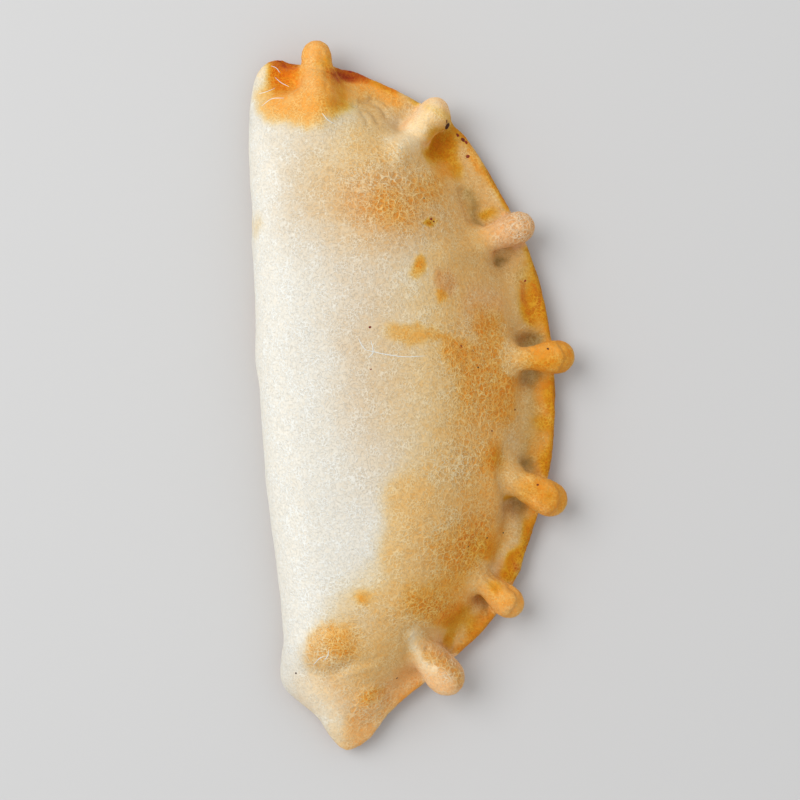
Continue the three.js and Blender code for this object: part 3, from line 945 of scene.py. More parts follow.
LONG_THREADS = (
    ((-27.8, 61.5), (-26.2, 61.8), (-24.5, 62.4)),
    ((-27.4, 59.0), (-25.3, 60.3), (-22.8, 60.3)),
    ((-25.0, 66.9), (-24.0, 66.4), (-23.3, 65.4)),
    ((-24.4, 64.6), (-23.2, 63.4), (-21.7, 62.5)),
    ((-15.5, 56.8), (-14.4, 55.3), (-13.0, 54.4)),
    ((-10.0, 8.9), (-8.3, 8.4), (-6.3, 7.8), (-2.3, 7.0), (1.7, 6.9)),
    ((-11.4, 11.4), (-10.7, 9.8), (-10.0, 8.9)),
    ((-8.9, 10.8), (-8.6, 8.4), (-9.7, 7.3)),
    ((-24.9, -53.2), (-23.6, -52.0), (-22.4, -51.6)),
    ((-22.9, -52.6), (-21.9, -51.6), (-21.6, -50.4)),
)


@dataclass(frozen=True)
class Speck:
    """A scorched speck on the crust.

    Args:
        at: its middle, seen from above.
        size: half its length and half its width.
        turn: the way its length runs, in degrees from +X.
        redness: 0 is char and 1 is dark red.
    """

    at: Point
    size: Point = (0.22, 0.18)
    turn: float = 0.0
    redness: float = 0.0


SPECKS = (
    Speck((9.35, 52.4), (0.95, 0.5), 95),
    Speck((9.3, 53.4), (0.4, 0.2), 110, 0.3),
    Speck((11.3, 50.4), (0.5, 0.25), 120, 0.7),
    Speck((12.3, 49.5), (0.5, 0.4), 130, 0.4),
    Speck((12.9, 48.9), (0.5, 0.3), 130, 0.9),
    Speck((13.0, 46.1), (0.4, 0.35), 20, 0.7),
    Speck((3.7, 38.4), (0.2, 0.18)),
    Speck((4.8, 34.1), (0.35, 0.25), 30, 0.8),
    Speck((5.3, 33.6), (0.25, 0.2), 0, 0.6),
    Speck((4.6, 33.5), (0.22, 0.18), 0, 0.9),
    Speck((26.3, 6.6), (0.25, 0.2), -30, 0.2),
    Speck((12.1, 3.9), (0.3, 0.22), -30),
    Speck((22.4, -20.4), (0.22, 0.2), 0, 0.5),
    Speck((14.8, -29.5), (0.2, 0.18)),
    Speck((7.6, -31.8), (0.26, 0.2)),
    Speck((11.5, -30.3), (0.18, 0.16)),
    Speck((-28.5, -54.6), (0.24, 0.2)),
    Speck((-8.4, -57.0), (0.24, 0.2)),
    Speck((-8.9, 13.4), (0.26, 0.2), 0, 0.5),
    Speck((-9.3, 5.0), (0.2, 0.16), 0, 0.6),
    Speck((18.9, -5.1), (0.24, 0.2), 0, 0.3),
    Speck((14.0, -9.0), (0.22, 0.2), 0, 0.6),
    Speck((22.7, 20.5), (0.3, 0.2), 40, 0.8),
    Speck((9.1, 8.3), (0.4, 0.14), -50, 0.8),
    Speck((11.3, 7.2), (0.3, 0.13), -35, 0.8),
    Speck((-23.4, 67.7), (0.5, 0.2), -10, 0.9),
    Speck((-9.3, 64.6), (0.4, 0.25), -30, 0.9),
)


# The lines of the dried skin. The ridges run under the drawn coarse meshes, and are wider.
COARSE_MESHES = Lines(0.60, 0.15, 0.45, 0.9)
COARSE_RIDGES = Lines(0.60, 0.30, 0.45, 0.9)
FINE_MESHES = Lines(1.4, 0.22, 1.1, 0.45)
LONG_STRANDS = Lines(1.1, 0.045, 0.8, 0.5)

# The unevenness of the look, of the relief and of the small pieces.
MOTTLE = Lumps(0.55, 4.0, 0.62)
SPECKLE = Lumps(2.4, 2.0, 0.7)
NET_FADE = Lumps(0.35)
TRAY_BLOTCHES = Lumps(0.10, 4.0, 0.6)
WIDE_LUMPS = Lumps(0.055)
SWELLS = Lumps(0.21)
GRAIN = Lumps(1.0, 2.0, 0.6)
THREAD_SWAY = Lumps(1.1)
THREAD_SWELL = Lumps(0.7)
SPECK_SKIN = Lumps(3.0)


@dataclass(frozen=True)
class BakedDough:
    """The look of the baked dough: browned by the stored depth, which at some places holds painted light and
    shade, with paler threads and a fine grain.

    Args:
        name: the material's name.
        has_net: whether the threads are drawn on it.
        browning: share of the stored depth that it takes.
        mottle: how unevenly it browns from one lump to the next.
        speckle: the same, from one grain to the next.
        grain_light: how much the grain changes its lightness.
        grain_height: how high the grain stands, in millimetres.
        net_height: how high the drawn threads stand, in millimetres.
        net_light: how much lighter a thread is.
        fade_levels: where the noise that fades the coarse net starts and ends to do so.
        fade: the coarse net's least and full strength.
        calm: strength of the fine lines, off the threaded patches and on them.
        unbrowned: share of the browning that a thread is spared, off the patches and on them.
        inner: how much of the tone inside the meshes is added, off the patches and on them.
        blotch_levels: where the noise of the tray's blotches starts and ends to brown.
        blotch: how much deeper the blotches brown the underside.
        roughness: in the hollows of the grain and on its tops.
        specular: strength of the shine.
        bump: strength of the drawn heights.
    """

    name: str = "baked_dough"
    has_net: bool = True
    browning: float = 1.0
    mottle: float = 0.7
    speckle: float = 0.35
    grain_light: float = 0.22
    grain_height: float = 0.08
    net_height: float = 0.14
    net_light: float = 0.10
    fade_levels: Span = (0.36, 0.62)
    fade: Span = (0.2, 1.0)
    calm: Span = (0.5, 1.0)
    unbrowned: Span = (0.45, 0.60)
    inner: Span = (0.45, 0.80)
    blotch_levels: Span = (0.38, 0.68)
    blotch: float = 0.7
    roughness: Span = (0.58, 0.78)
    specular: float = 0.18
    bump: float = 0.9

    def net(self, bench: Bench, place: Wire, threaded: Wire) -> Wire:
        """The drawn threads: coarse meshes in the patches, fine ones and strands everywhere.

        Args:
            bench: where the nodes are made.
            place: the place, in millimetres.
            threaded: how far the place is inside a threaded patch.

        Returns:
            The strength of the thread: 1 on it, 0 off it.
        """
        fade = bench.noise(place, NET_FADE).ramp(*self.fade_levels, *self.fade)
        calm = threaded.between(*self.calm)
        coarse = bench.web(place, COARSE_MESHES) * fade * threaded
        fine = bench.web(place, FINE_MESHES) * (sum(self.fade) - fade) * calm
        return coarse.at_least(fine).at_least(bench.strands(place, LONG_STRANDS) * calm)

    def material(self) -> bpy.types.Material:
        """Makes the material.

        Returns:
            The material.
        """
        material, bench = start_material(self.name)
        place = bench.scaled(bench.node("ShaderNodeTexCoord", None, None, "Object"), 1 / MM)
        depth = bench.node("ShaderNodeAttribute", {"attribute_name": TOASTED_AND_PAINTED_LIGHT}, None, "Vector")
        lumps = bench.noise(place, MOTTLE) - 0.5
        grain = bench.noise(place, SPECKLE)
        amount = (1.0 + lumps * self.mottle + (grain - 0.5) * self.speckle) * self.browning
        height = grain * self.grain_height
        light = 1.0 + (grain - 0.5) * self.grain_light
        if self.has_net:
            threaded, beneath = bench.stored(THREADED), bench.stored(BENEATH)
            net = self.net(bench, place, threaded)
            blotch = bench.noise(place, TRAY_BLOTCHES).ramp(*self.blotch_levels)
            amount = amount * (1.0 - net * threaded.between(*self.unbrowned))
            amount = amount * (1.0 + blotch * beneath * self.blotch)
            light = light * (1.0 + net * self.net_light)
            height = height + net * self.net_height
        browned = bench.scaled(depth, amount)
        if self.has_net:
            inner = bench.scaled(tuple(Tone.OAT.depth()), (1.0 - net) * threaded.between(*self.inner))
            browned = bench.vector("ADD", browned, inner)
        colour = bench.vector("POWER", (math.e, math.e, math.e), browned)
        colour = bench.vector("MULTIPLY", colour, tuple(Tone.DOUGH.linear()))
        bump = {"Strength": self.bump, "Distance": MM, "Height": height}
        bench.finish_surface({
            "Base Color": bench.scaled(colour, light),
            "Roughness": grain.between(*self.roughness),
            "Specular IOR Level": self.specular,
            "Normal": bench.node("ShaderNodeBump", None, bump, "Normal"),
        })
        return material


@dataclass(frozen=True)
class Char:
    """The look of a scorched speck, from char to dark red."""

    name: str = "char"
    roughness: float = 0.6
    specular: float = 0.3

    def material(self) -> bpy.types.Material:
        """Makes the material.

        Returns:
            The material.
        """
        material, bench = start_material(self.name)
        values = {0: bench.stored(REDNESS), 6: (*Tone.UMBER.linear(), 1.0), 7: (*Tone.RUST.linear(), 1.0)}
        colour = bench.node("ShaderNodeMix", {"data_type": "RGBA"}, values, 2)
        shine = {"Roughness": self.roughness, "Specular IOR Level": self.specular}
        bench.finish_surface({"Base Color": colour, **shine})
        return material


@dataclass(frozen=True)
class CrustRelief:
    """The Geometry Nodes tree that raises the crust's lumps, net and grain.

    Args:
        lump_height: of the wide lumps, in millimetres, as are the next three.
        swell_height: of the swells on them.
        net_height: of the net's ridges.
        grain_height: of the grain.
        seed: picks the lumps.
        net_share: how much of its height the net has, off the threaded patches and on them.
        flattened: share of the relief that the tray takes from the underside.
    """

    lump_height: float = 0.6
    swell_height: float = 0.22
    net_height: float = 0.12
    grain_height: float = 0.06
    seed: float = 3.0
    net_share: Span = (0.25, 0.90)
    flattened: float = 0.9

    def tree(self, material: bpy.types.Material) -> bpy.types.NodeTree:
        """Makes the tree.

        Args:
            material: what the crust is made of.

        Returns:
            The tree.
        """
        names = ("Lump height", "Swell height", "Net height", "Grain height", "Seed")
        bench, solid, (lump, swell, net, grain, seed) = start_tree("crust_relief", names)
        place = bench.place()
        moved = bench.vector("ADD", place, bench.scaled(SEED_STEP, seed))
        height = (
            (bench.noise(moved, WIDE_LUMPS) - 0.5) * lump
            + (bench.noise(moved, SWELLS) - 0.5) * swell
            + bench.web(place, COARSE_RIDGES) * net * bench.named(THREADED).between(*self.net_share)
            + (bench.noise(moved, GRAIN) - 0.5) * grain
        )
        height = height * (1.0 - bench.named(BENEATH) * self.flattened)
        offset = bench.scaled(bench.node("GeometryNodeInputNormal"), height * MM)
        return bench.finish_tree(bench.shifted(solid, offset), material)

    def sizes(self) -> tuple[float, ...]:
        """The values for the tree's sockets."""
        return (self.lump_height, self.swell_height, self.net_height, self.grain_height, self.seed)


@dataclass(frozen=True)
class Rub:
    """A rub that smooths the belly and leaves the rim alone.

    Args:
        rounds: number of passes.
        off_rim: how far from the rim the rub starts, and how far from it the rub is full.
        off_pinches: the same from the skin of the nearest pinch, or nothing.
        where: the only place that is rubbed, or nothing for the whole crust.
    """

    rounds: int
    off_rim: Span
    off_pinches: Span | None = None
    where: Spot | None = None


RUBS = (
    Rub(40, (1.5, 5.0), (0.6, 4.0)),
    Rub(120, (0.4, 2.0), None, TAIL),
    Rub(200, (0.6, 2.4), (0.0, 1.0), BASIN),
)


@dataclass(frozen=True)
class Oven:
    """How the oven browns what no spot or streak says.

    A lone number is a strength, from 0 to 1. A pair is where an effect starts and where it is full, or
    where it starts to fade and where it is gone, in millimetres unless a comment says otherwise. Waves
    are a span and a seed, and a wander is a span, a reach and a seed.
    """

    wide_wander: tuple[float, float, int] = (11.0, 0.7, 20)
    fine_wander: tuple[float, float, int] = (3.2, 0.28, 40)
    # The underside: the part of a face's direction that points down, and the height.
    faces_tray: Span = (0.1, 0.6)
    near_tray: Span = (1.5, 5.0)
    underside: float = 0.85
    tray_stains: float = 0.8
    tray_stain_waves: Waves = (26.0, 60)
    tray_stain_levels: Span = (-0.2, 1.2)
    # The pale folded side, and the browned edge of the rim and of the tail.
    folded_side: float = 0.8
    folded_side_height: Span = (1.0, 5.5)
    folded_side_from: Span = (5.0, 25.0)
    rim_edge: float = 0.6
    rim_edge_reach: Span = (0.4, 1.5)
    rim_edge_from: Span = (-60.0, -40.0)
    rim_edge_waves: Waves = (9.0, 80)
    rim_edge_gaps: Span = (-2.2, 0.6)
    tail_edge: float = 0.4
    tail_edge_reach: Span = (0.4, 1.4)
    tail_edge_from: Span = (40.0, 52.0)
    tail_edge_to: Span = (-66.0, -58.0)
    # The pinches, where all pairs but the first are shares of a pinch's length.
    pinch_reach: Span = (0.0, 1.3)
    pinch_lifted: Span = (0.75, 0.9)
    pinch_root: float = 0.85
    pinch_root_from: Span = (0.0, 0.35)
    pinch_end: float = 0.95
    pinch_end_from: Span = (0.4, 0.8)
    beside_pinches: Span = (-0.8, 0.3)
    # The threads, which the smooth skin along the crease lacks.
    threads_at_large: float = 0.19
    threads_off_pinches: float = 0.08
    threads_in_patches: float = 0.75
    crease_skin: float = 0.85
    crease_reach: Span = (1.5, 4.5)


@dataclass
class Turnover:
    """The whole crust: belly, pressed rim and pinches, as one skin.

    Sizes are in millimetres unless a comment says otherwise. A pair is where an effect starts and where
    it is full, or where it starts to fade and where it is gone.
    """

    # The even skin. Faces that point down by more than this share, below this height, are the underside.
    voxel: float = 0.45
    weld_metres: float = 1e-6
    flat_below: float = 1.2
    flat_facing: float = -0.6
    underside_share: float = 0.82
    # A rub's steps, as shares of the way to the neighbours' middle, and the numbers of its passes.
    rub_step: float = 0.5
    swell_step: float = 0.52
    least_pull: float = 0.001
    even_rounds: int = 6
    settle_rounds: int = 4
    corner_rounds: int = 20
    tip_rounds: int = 30
    end_pull: float = 0.8
    last_rounds: int = 3
    # Blending a pinch into the belly. The start and the end are shares of the pinch's length.
    blend_rounds: int = 280
    blend_reach: Span = (1.0, 5.0)
    blend_start: Span = (-0.5, -0.2)
    blend_end: Span = (-0.16, 0.14)
    # Smoothing the crease between the belly and the flat band.
    crease_rounds: int = 50
    crease_reach: Span = (1.5, 5.0)
    crease_off_pinches: Span = (0.2, 2.6)
    off_pinch_reach: Span = (-0.2, 1.4)
    # Waists and knobs. The two lengths are shares of the pinch's length.
    pinch_skin: Span = (0.2, 1.0)
    pinch_upper: Span = (4.2, 5.4)
    waist_length: float = 0.16
    knob_length: float = 0.18
    # Dents show on faces that point up by this share.
    upward: Span = (0.0, 0.45)
    # The line between the rim's two layers of dough.
    parting_sway: float = 0.35
    parting_sway_waves: Waves = (14.0, 5)
    parting_half_width: float = 0.45
    parting_reach: Span = (0.8, 1.8)
    parting_off_pinches: Span = (0.0, 1.0)
    parting_gap_waves: Waves = (22.0, 9)
    parting_gaps: Span = (-1.0, 0.6)
    parting_depth: float = 0.4
    # The map for the bake: the side of its square, and where the two halves start across.
    map_span: float = 146.0
    map_upper_from: float = 33.0
    map_lower_shift: float = 68.0
    oven: Oven = Oven()
    piece: bpy.types.Object = field(init=False, default=None)
    off_pinches: np.ndarray = field(init=False, default=None)

    def apply(self, kind: str, settings: dict) -> None:
        """Adds a modifier, keeps its result as the piece's mesh and removes it."""
        modifier = self.piece.modifiers.new(kind.lower(), kind)
        for name, setting in settings.items():
            setattr(modifier, name, setting)
        keep_result(self.piece)

    def places(self) -> np.ndarray:
        """The vertices, in millimetres."""
        vertices = self.piece.data.vertices
        flat = np.empty(3 * len(vertices), np.float32)
        vertices.foreach_get("co", flat)
        return flat.reshape(-1, 3).astype(float) / MM

    def move_to(self, places: np.ndarray) -> None:
        """Puts the vertices at these places, in millimetres, no lower than the table."""
        places[:, 2] = np.maximum(places[:, 2], 0.0)
        self.piece.data.vertices.foreach_set("co", (places * MM).astype(np.float32).ravel())
        self.piece.data.update()

    def normals(self) -> np.ndarray:
        """The vertices' outward directions."""
        flat = np.empty(3 * len(self.piece.data.vertices), np.float32)
        self.piece.data.vertex_normals.foreach_get("vector", flat)
        return flat.reshape(-1, 3).astype(float)

    def from_pinches(self, places: np.ndarray) -> np.ndarray:
        """How far each place is from the skin of the nearest pinch, and below 0 inside it."""
        return np.min([pinch.distance(places) - pinch.bulb for pinch in PINCHES], axis=0)

    def smooth(self, rounds: int, weight: np.ndarray | float = 1.0, keeps_size: bool = False) -> None:
        """Rubs the dough smooth.

        Args:
            rounds: number of passes.
            weight: how strongly each vertex takes part, from 0 to 1.
            keeps_size: whether each pass is followed by one that swells, so that thin parts stay thick.
        """
        places = self.places()
        weight = np.broadcast_to(weight, len(places))
        active = np.flatnonzero(weight > self.least_pull)
        slot = np.full(len(places), -1)
        slot[active] = np.arange(len(active))
        edges = np.empty(2 * len(self.piece.data.edges), np.int32)
        self.piece.data.edges.foreach_get("vertices", edges)
        pairs = edges.reshape(-1, 2)
        owner, neighbour = np.vstack([pairs, pairs[:, ::-1]]).T
        kept = slot[owner] >= 0
        owner, neighbour = slot[owner[kept]], neighbour[kept]
        degree = np.bincount(owner, minlength=len(active))[:, None]
        pull = weight[active][:, None]
        steps = (self.rub_step, -self.swell_step) if keeps_size else (self.rub_step,)
        for _ in range(rounds):
            for step in steps:
                near = places[neighbour]
                sums = [np.bincount(owner, near[:, axis], len(active)) for axis in range(3)]
                places[active] += step * pull * (np.stack(sums, axis=1) / degree - places[active])
        self.move_to(places)

    def rough_out(self) -> None:
        """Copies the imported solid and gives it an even, fine skin of square faces."""
        self.piece = add_object("crust_shell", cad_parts[NODE].data.copy())
        self.apply("WELD", {"merge_threshold": self.weld_metres})
        self.apply("REMESH", {"mode": "VOXEL", "voxel_size": self.voxel * MM, "use_smooth_shade": True})
        self.smooth(self.even_rounds, keeps_size=True)

    def thin_underside(self) -> None:
        """Gives the flat underside larger faces, since its relief is slight."""
        places, normals = self.places(), self.normals()
        flat = np.flatnonzero((normals[:, 2] < self.flat_facing) & (places[:, 2] < self.flat_below))
        group = self.piece.vertex_groups.new(name="flat")
        group.add(flat.tolist(), 1.0, "REPLACE")
        ratio = 1 - self.underside_share * len(flat) / len(places)
        self.apply("DECIMATE", {"ratio": ratio, "vertex_group": "flat", "use_collapse_triangulate": True})
        self.piece.vertex_groups.clear()

    def ease(self) -> None:
        """Rubs out the solid's facets and blends the pinches into the belly."""
        places = self.places()
        for rub in RUBS:
            weight = eased(from_path(places, RIM), *rub.off_rim)
            if rub.where:
                weight = weight * rub.where.weight(places)
            if rub.off_pinches:
                weight = weight * eased(self.from_pinches(places), *rub.off_pinches)
            self.smooth(rub.rounds, weight)
        for pinch in PINCHES:
            places = self.places()
            outer = pinch.along(places)
            near = 1 - eased(pinch.distance(places) - pinch.bulb, *self.blend_reach)
            start, end = (pinch.shows_from + step for step in self.blend_end)
            near = near * eased(outer, *self.blend_start)
            self.smooth(self.blend_rounds, near * (1 - eased(outer, start, end)))
        places = self.places()
        crease = 1 - eased(from_path(places, CREASE), *self.crease_reach)
        self.smooth(self.crease_rounds, crease * eased(self.from_pinches(places), *self.crease_off_pinches))
        self.smooth(self.settle_rounds, keeps_size=True)
        self.off_pinches = eased(self.from_pinches(self.places()), *self.off_pinch_reach)

    def shape_pinches(self) -> None:
        """Draws in each pinch's waist and swells its end to a knob."""
        for pinch in PINCHES:
            places, normals = self.places(), self.normals()
            skin = 1 - eased(pinch.distance(places) - pinch.bulb, *self.pinch_skin)
            outer = pinch.along(places)
            waist = pinch.waist * bell(outer - pinch.waist_at, self.waist_length)
            knob = pinch.knob * bell(outer - 1.0, self.knob_length)
            upper = eased(places[:, 2], *self.pinch_upper)
            self.move_to(places + ((knob - waist) * skin * upper)[:, None] * normals)

    def press(self, dents: Iterable[Dent]) -> None:
        """Presses the dents into the upper side and raises the swellings."""
        places, normals = self.places(), self.normals()
        upward = eased(normals[:, 2], *self.upward)
        shift = np.zeros(len(places))
        for dent in dents:
            weight = dent.where.weight(places) * upward
            shift += dent.depth * weight * (self.off_pinches if dent.spares_pinches else 1.0)
        self.move_to(places - shift[:, None] * normals)

    def knock(self, knocks: Iterable[Knock]) -> None:
        """Gives the folded side and the rim their knocks and bulges."""
        places, normals = self.places(), self.normals()
        level = normals * (1.0, 1.0, 0.0)
        for knock in knocks:
            away = np.linalg.norm(places - np.array(knock.at), axis=1)
            places = places - (knock.depth * bell(away, knock.reach))[:, None] * level
        self.move_to(places)

    def part_rim(self) -> None:
        """Scores the rim's outer side between the two layers of dough."""
        places, normals = self.places(), self.normals()
        height = RIM_MIDDLE_HEIGHT + self.parting_sway * drift(places, *self.parting_sway_waves)
        score = bell(places[:, 2] - height, self.parting_half_width)
        score *= 1 - eased(from_path(places, RIM), *self.parting_reach)
        gaps = eased(drift(places, *self.parting_gap_waves), *self.parting_gaps)
        score *= eased(self.from_pinches(places), *self.parting_off_pinches) * gaps
        self.move_to(places - (self.parting_depth * score)[:, None] * normals)

    def toast_and_paint_light(self) -> None:
        """Stores how deep each vertex is browned, with painted light and shade at some places, where threads
        show and which part is the underside.
        """
        oven = self.oven
        places, normals = self.places(), self.normals()
        x, y, z = places.T
        beneath = eased(-normals[:, 2], *oven.faces_tray) * (1 - eased(z, *oven.near_tray))
        spread = wandered(wandered(places, *oven.wide_wander), *oven.fine_wander)
        from_rim = from_path(places, RIM)
        beside = eased(self.from_pinches(places), *oven.beside_pinches)
        depth = np.zeros((len(places), 3))

        def lay(tone: Tone, weight: np.ndarray) -> None:
            """Moves the colour towards a tone, as far as the weight says: browning at most places, painted
            light or shade at some.
            """
            depth[:] += np.clip(weight, 0, 1)[:, None] * (tone.depth() - depth)

        def lay_all(toasts_and_light: Iterable[ToastAndPaintedLight], share: np.ndarray | float = 1.0) -> None:
            """Lays the tones of spots and streaks, browning and painted light and shade, as far as the share
            says.
            """
            for toast_and_paint_light in toasts_and_light:
                lay(toast_and_paint_light.tone, toast_and_paint_light.strength * toast_and_paint_light.where.weight(spread) * share)

        low = 1 - eased(z, *oven.folded_side_height)
        lay(Tone.CREAM, oven.folded_side * low * eased(-x, *oven.folded_side_from))
        lay_all(TOASTS_AND_PAINTED_LIGHT)
        edge = (1 - eased(from_rim, *oven.rim_edge_reach)) * eased(y, *oven.rim_edge_from)
        gaps = eased(drift(places, *oven.rim_edge_waves), *oven.rim_edge_gaps)
        lay(Tone.AMBER, oven.rim_edge * edge * gaps)
        edge = (1 - eased(from_rim, *oven.tail_edge_reach)) * eased(-y, *oven.tail_edge_from)
        lay(Tone.BROWN, oven.tail_edge * edge * eased(y, *oven.tail_edge_to))
        for pinch in PINCHES:
            outer = pinch.along(places)
            lifted = places.copy()
            lifted[:, 2] = np.maximum(z, pinch.end_height * eased(outer, *oven.pinch_lifted))
            near = 1 - eased(pinch.distance(lifted) - pinch.bulb, *oven.pinch_reach)
            lay(pinch.root_tone, oven.pinch_root * near * eased(outer, *oven.pinch_root_from))
            lay(pinch.tone, oven.pinch_end * near * eased(outer, *oven.pinch_end_from))
        lay_all(HOLLOW_TOASTS_AND_SHADE, beside)
        lay(Tone.TAN, oven.underside * beneath)
        stains = eased(drift(places, *oven.tray_stain_waves), *oven.tray_stain_levels)
        lay(Tone.BROWN, oven.tray_stains * beneath * stains)
        lay_all(PINCH_TOASTS_AND_PAINTED_LIGHT, 1 - beneath)
        patches = np.max([patch.weight(spread) for patch in THREAD_PATCHES], axis=0)
        threads = oven.threads_at_large + oven.threads_off_pinches * beside
        threads = threads + oven.threads_in_patches * patches
        smooth_skin = 1 - eased(from_path(places, CREASE), *oven.crease_reach)
        threads = threads * (1 - oven.crease_skin * smooth_skin * beside) * (1 - beneath)
        store(self.piece.data, TOASTED_AND_PAINTED_LIGHT, depth)
        store(self.piece.data, THREADED, np.clip(threads, 0, 1))
        store(self.piece.data, BENEATH, beneath)

    def lay_out_map(self) -> None:
        """Lays the upper and lower sides out flat, side by side, for the bake."""
        mesh = self.piece.data
        layer = mesh.uv_layers.new(name=BAKE_MAP)
        corners = np.empty(len(mesh.loops), np.int32)
        mesh.loops.foreach_get("vertex_index", corners)
        totals = np.empty(len(mesh.polygons), np.int32)
        facing = np.empty(3 * len(mesh.polygons), np.float32)
        mesh.polygons.foreach_get("loop_total", totals)
        mesh.polygons.foreach_get("normal", facing)
        below = np.repeat(facing.reshape(-1, 3)[:, 2] < 0, totals)
        flat = self.places()[corners, :2]
        start = self.map_upper_from + np.where(below, self.map_lower_shift, 0.0)
        middle = self.map_span / 2
        flat = np.stack([flat[:, 0] + start, flat[:, 1] + middle], axis=1) / self.map_span
        layer.data.foreach_set("uv", flat.astype(np.float32).ravel())

    def build(self) -> bpy.types.Object:
        """Makes the crust.

        Returns:
            The finished piece.
        """
        self.rough_out()
        self.thin_underside()
        self.ease()
        self.shape_pinches()
        self.press(DENTS)
        self.knock(KNOCKS)
        self.smooth(self.corner_rounds, self.end_pull * CORNER.weight(self.places()) * self.off_pinches)
        self.smooth(self.tip_rounds, self.end_pull * TIP.weight(self.places()))
        self.smooth(self.last_rounds, keeps_size=True)
        self.press(GROOVES)
        self.part_rim()
        self.toast_and_paint_light()
        self.piece.data.materials.clear()
        relief = CrustRelief()
        put_on(self.piece, relief.tree(BakedDough().material()), relief.sizes())
        self.move_to(self.places())
        self.lay_out_map()
        self.piece.data.shade_smooth()
        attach(self.piece, BODY)
        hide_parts(NODE)
        return self.piece


@dataclass(frozen=True)
class SkinNet:
    """The net of raised threads on the browned patches, laid over the crust by a Geometry Nodes tree.

    Args:
        mesh_size: across one mesh, in millimetres, as are the other sizes.
        share: of the threads that are there in the middle of a patch.
        thickness: from a thread's middle to its skin.
        wander: how far the threads stray sideways.
        seed: picks the meshes.
        browning: share of the crust's browning that the threads take.
        sheet_side: side of the sheet of meshes that is dropped on the crust.
        sheet_turn: how far the sheet is turned, in degrees.
        sheet_height: where the sheet hangs before it drops.
        step: between two points along a thread.
        patch_edge: how far inside a patch the threads start, and are all there, from 0 to 1.
        swell_levels: where the noise that swells the threads starts and ends to do so.
        swell: a thread's least and largest thickness, as shares.
        sides: number of sides round a thread.
    """

    mesh_size: float = 1.35
    share: float = 0.78
    thickness: float = 0.095
    wander: float = 0.30
    seed: float = 11.0
    browning: float = 0.64
    sheet_side: float = 150.0
    sheet_turn: float = 25.0
    sheet_height: float = 50.0
    step: float = 0.28
    patch_edge: Span = (0.4, 0.9)
    swell_levels: Span = (0.3, 0.7)
    swell: Span = (0.5, 1.15)
    sides: int = 4

    def sheet(self, bench: Bench, mesh_size: Wire, seed: Wire) -> Wire:
        """Makes the uneven sheet of meshes that hangs over the crust.

        Args:
            bench: where the nodes are made.
            mesh_size: across one mesh, in millimetres.
            seed: picks the meshes.

        Returns:
            The sheet.
        """
        side, count = self.sheet_side * MM, round(self.sheet_side / self.mesh_size)
        grid = {"Size X": side, "Size Y": side, "Vertices X": count, "Vertices Y": count}
        hanging = {
            "Geometry": bench.node("GeometryNodeMeshGrid", None, grid, "Mesh"),
            "Translation": (0.0, 0.0, self.sheet_height * MM),
            "Rotation": (0.0, 0.0, math.radians(self.sheet_turn)),
        }
        hung = bench.node("GeometryNodeTransform", None, hanging)
        limits = {0: (-1.0, -1.0, 0.0), 1: (1.0, 1.0, 0.0), "Seed": seed}
        scatter = bench.node("FunctionNodeRandomValue", {"data_type": "FLOAT_VECTOR"}, limits)
        uneven = bench.shifted(hung, bench.scaled(scatter, mesh_size * (0.5 * MM)))
        faces = bench.node("GeometryNodeTriangulate", {"quad_method": "SHORTEST_DIAGONAL"}, {0: uneven})
        return bench.node("GeometryNodeDualMesh", None, {0: faces})

    def tree(self, material: bpy.types.Material, crust: bpy.types.Object) -> bpy.types.NodeTree:
        """Makes the tree.

        Args:
            material: what the threads are made of.
            crust: the finished crust that they lie on.

        Returns:
            The tree.
        """
        names = ("Mesh size", "Share", "Thickness", "Wander", "Seed")
        bench, _, (mesh_size, share, thickness, wander, seed) = start_tree("skin_net", names)
        ground = bench.node("GeometryNodeObjectInfo", None, {"Object": crust}, "Geometry")
        cells = self.sheet(bench, mesh_size, seed)
        patch = bench.straight_down(ground, THREADED, "FLOAT").outputs["Attribute"]
        limits = {2: 0.0, 3: 1.0, "Seed": seed + 1.0}
        chance = bench.node("FunctionNodeRandomValue", {"data_type": "FLOAT"}, limits)
        kept = (Wire(bench, patch).ramp(*self.patch_edge) * share - chance).is_over(0.0)
        lines = bench.node("GeometryNodeMeshToCurve", None, {"Mesh": cells, "Selection": kept})
        steps = {"Curve": lines, "Length": self.step * MM}
        fine = bench.node("GeometryNodeResampleCurve", {"mode": "LENGTH"}, steps)
        place = bench.place()
        sideways = bench.vector("MULTIPLY", bench.sway(place, THREAD_SWAY), (1.0, 1.0, 0.0))
        strayed = bench.shifted(fine, bench.scaled(sideways, wander * (SWAY_STRETCH * MM)))
        down = bench.straight_down(ground, TOASTED_AND_PAINTED_LIGHT, "FLOAT_VECTOR").outputs
        browned = bench.node(
            "GeometryNodeStoreNamedAttribute",
            {"data_type": "FLOAT_VECTOR", "domain": "POINT"},
            {"Geometry": strayed, "Name": TOASTED_AND_PAINTED_LIGHT, "Value": down["Attribute"]},
        )
        drop = {"Geometry": browned, "Selection": down["Is Hit"], "Position": down["Hit Position"]}
        laid = bench.node("GeometryNodeSetPosition", None, drop)
        height = bench.node("ShaderNodeSeparateXYZ", None, {0: bench.node("GeometryNodeInputPosition")}, "Z")
        missed = {0: laid, "Selection": height.is_over(0.8 * self.sheet_height * MM)}
        settled = bench.node("GeometryNodeDeleteGeometry", {"domain": "POINT"}, missed)
        swell = bench.noise(place, THREAD_SWELL).ramp(*self.swell_levels, *self.swell)
        return bench.finish_tree(bench.tubes(settled, thickness, self.sides, swell), material)

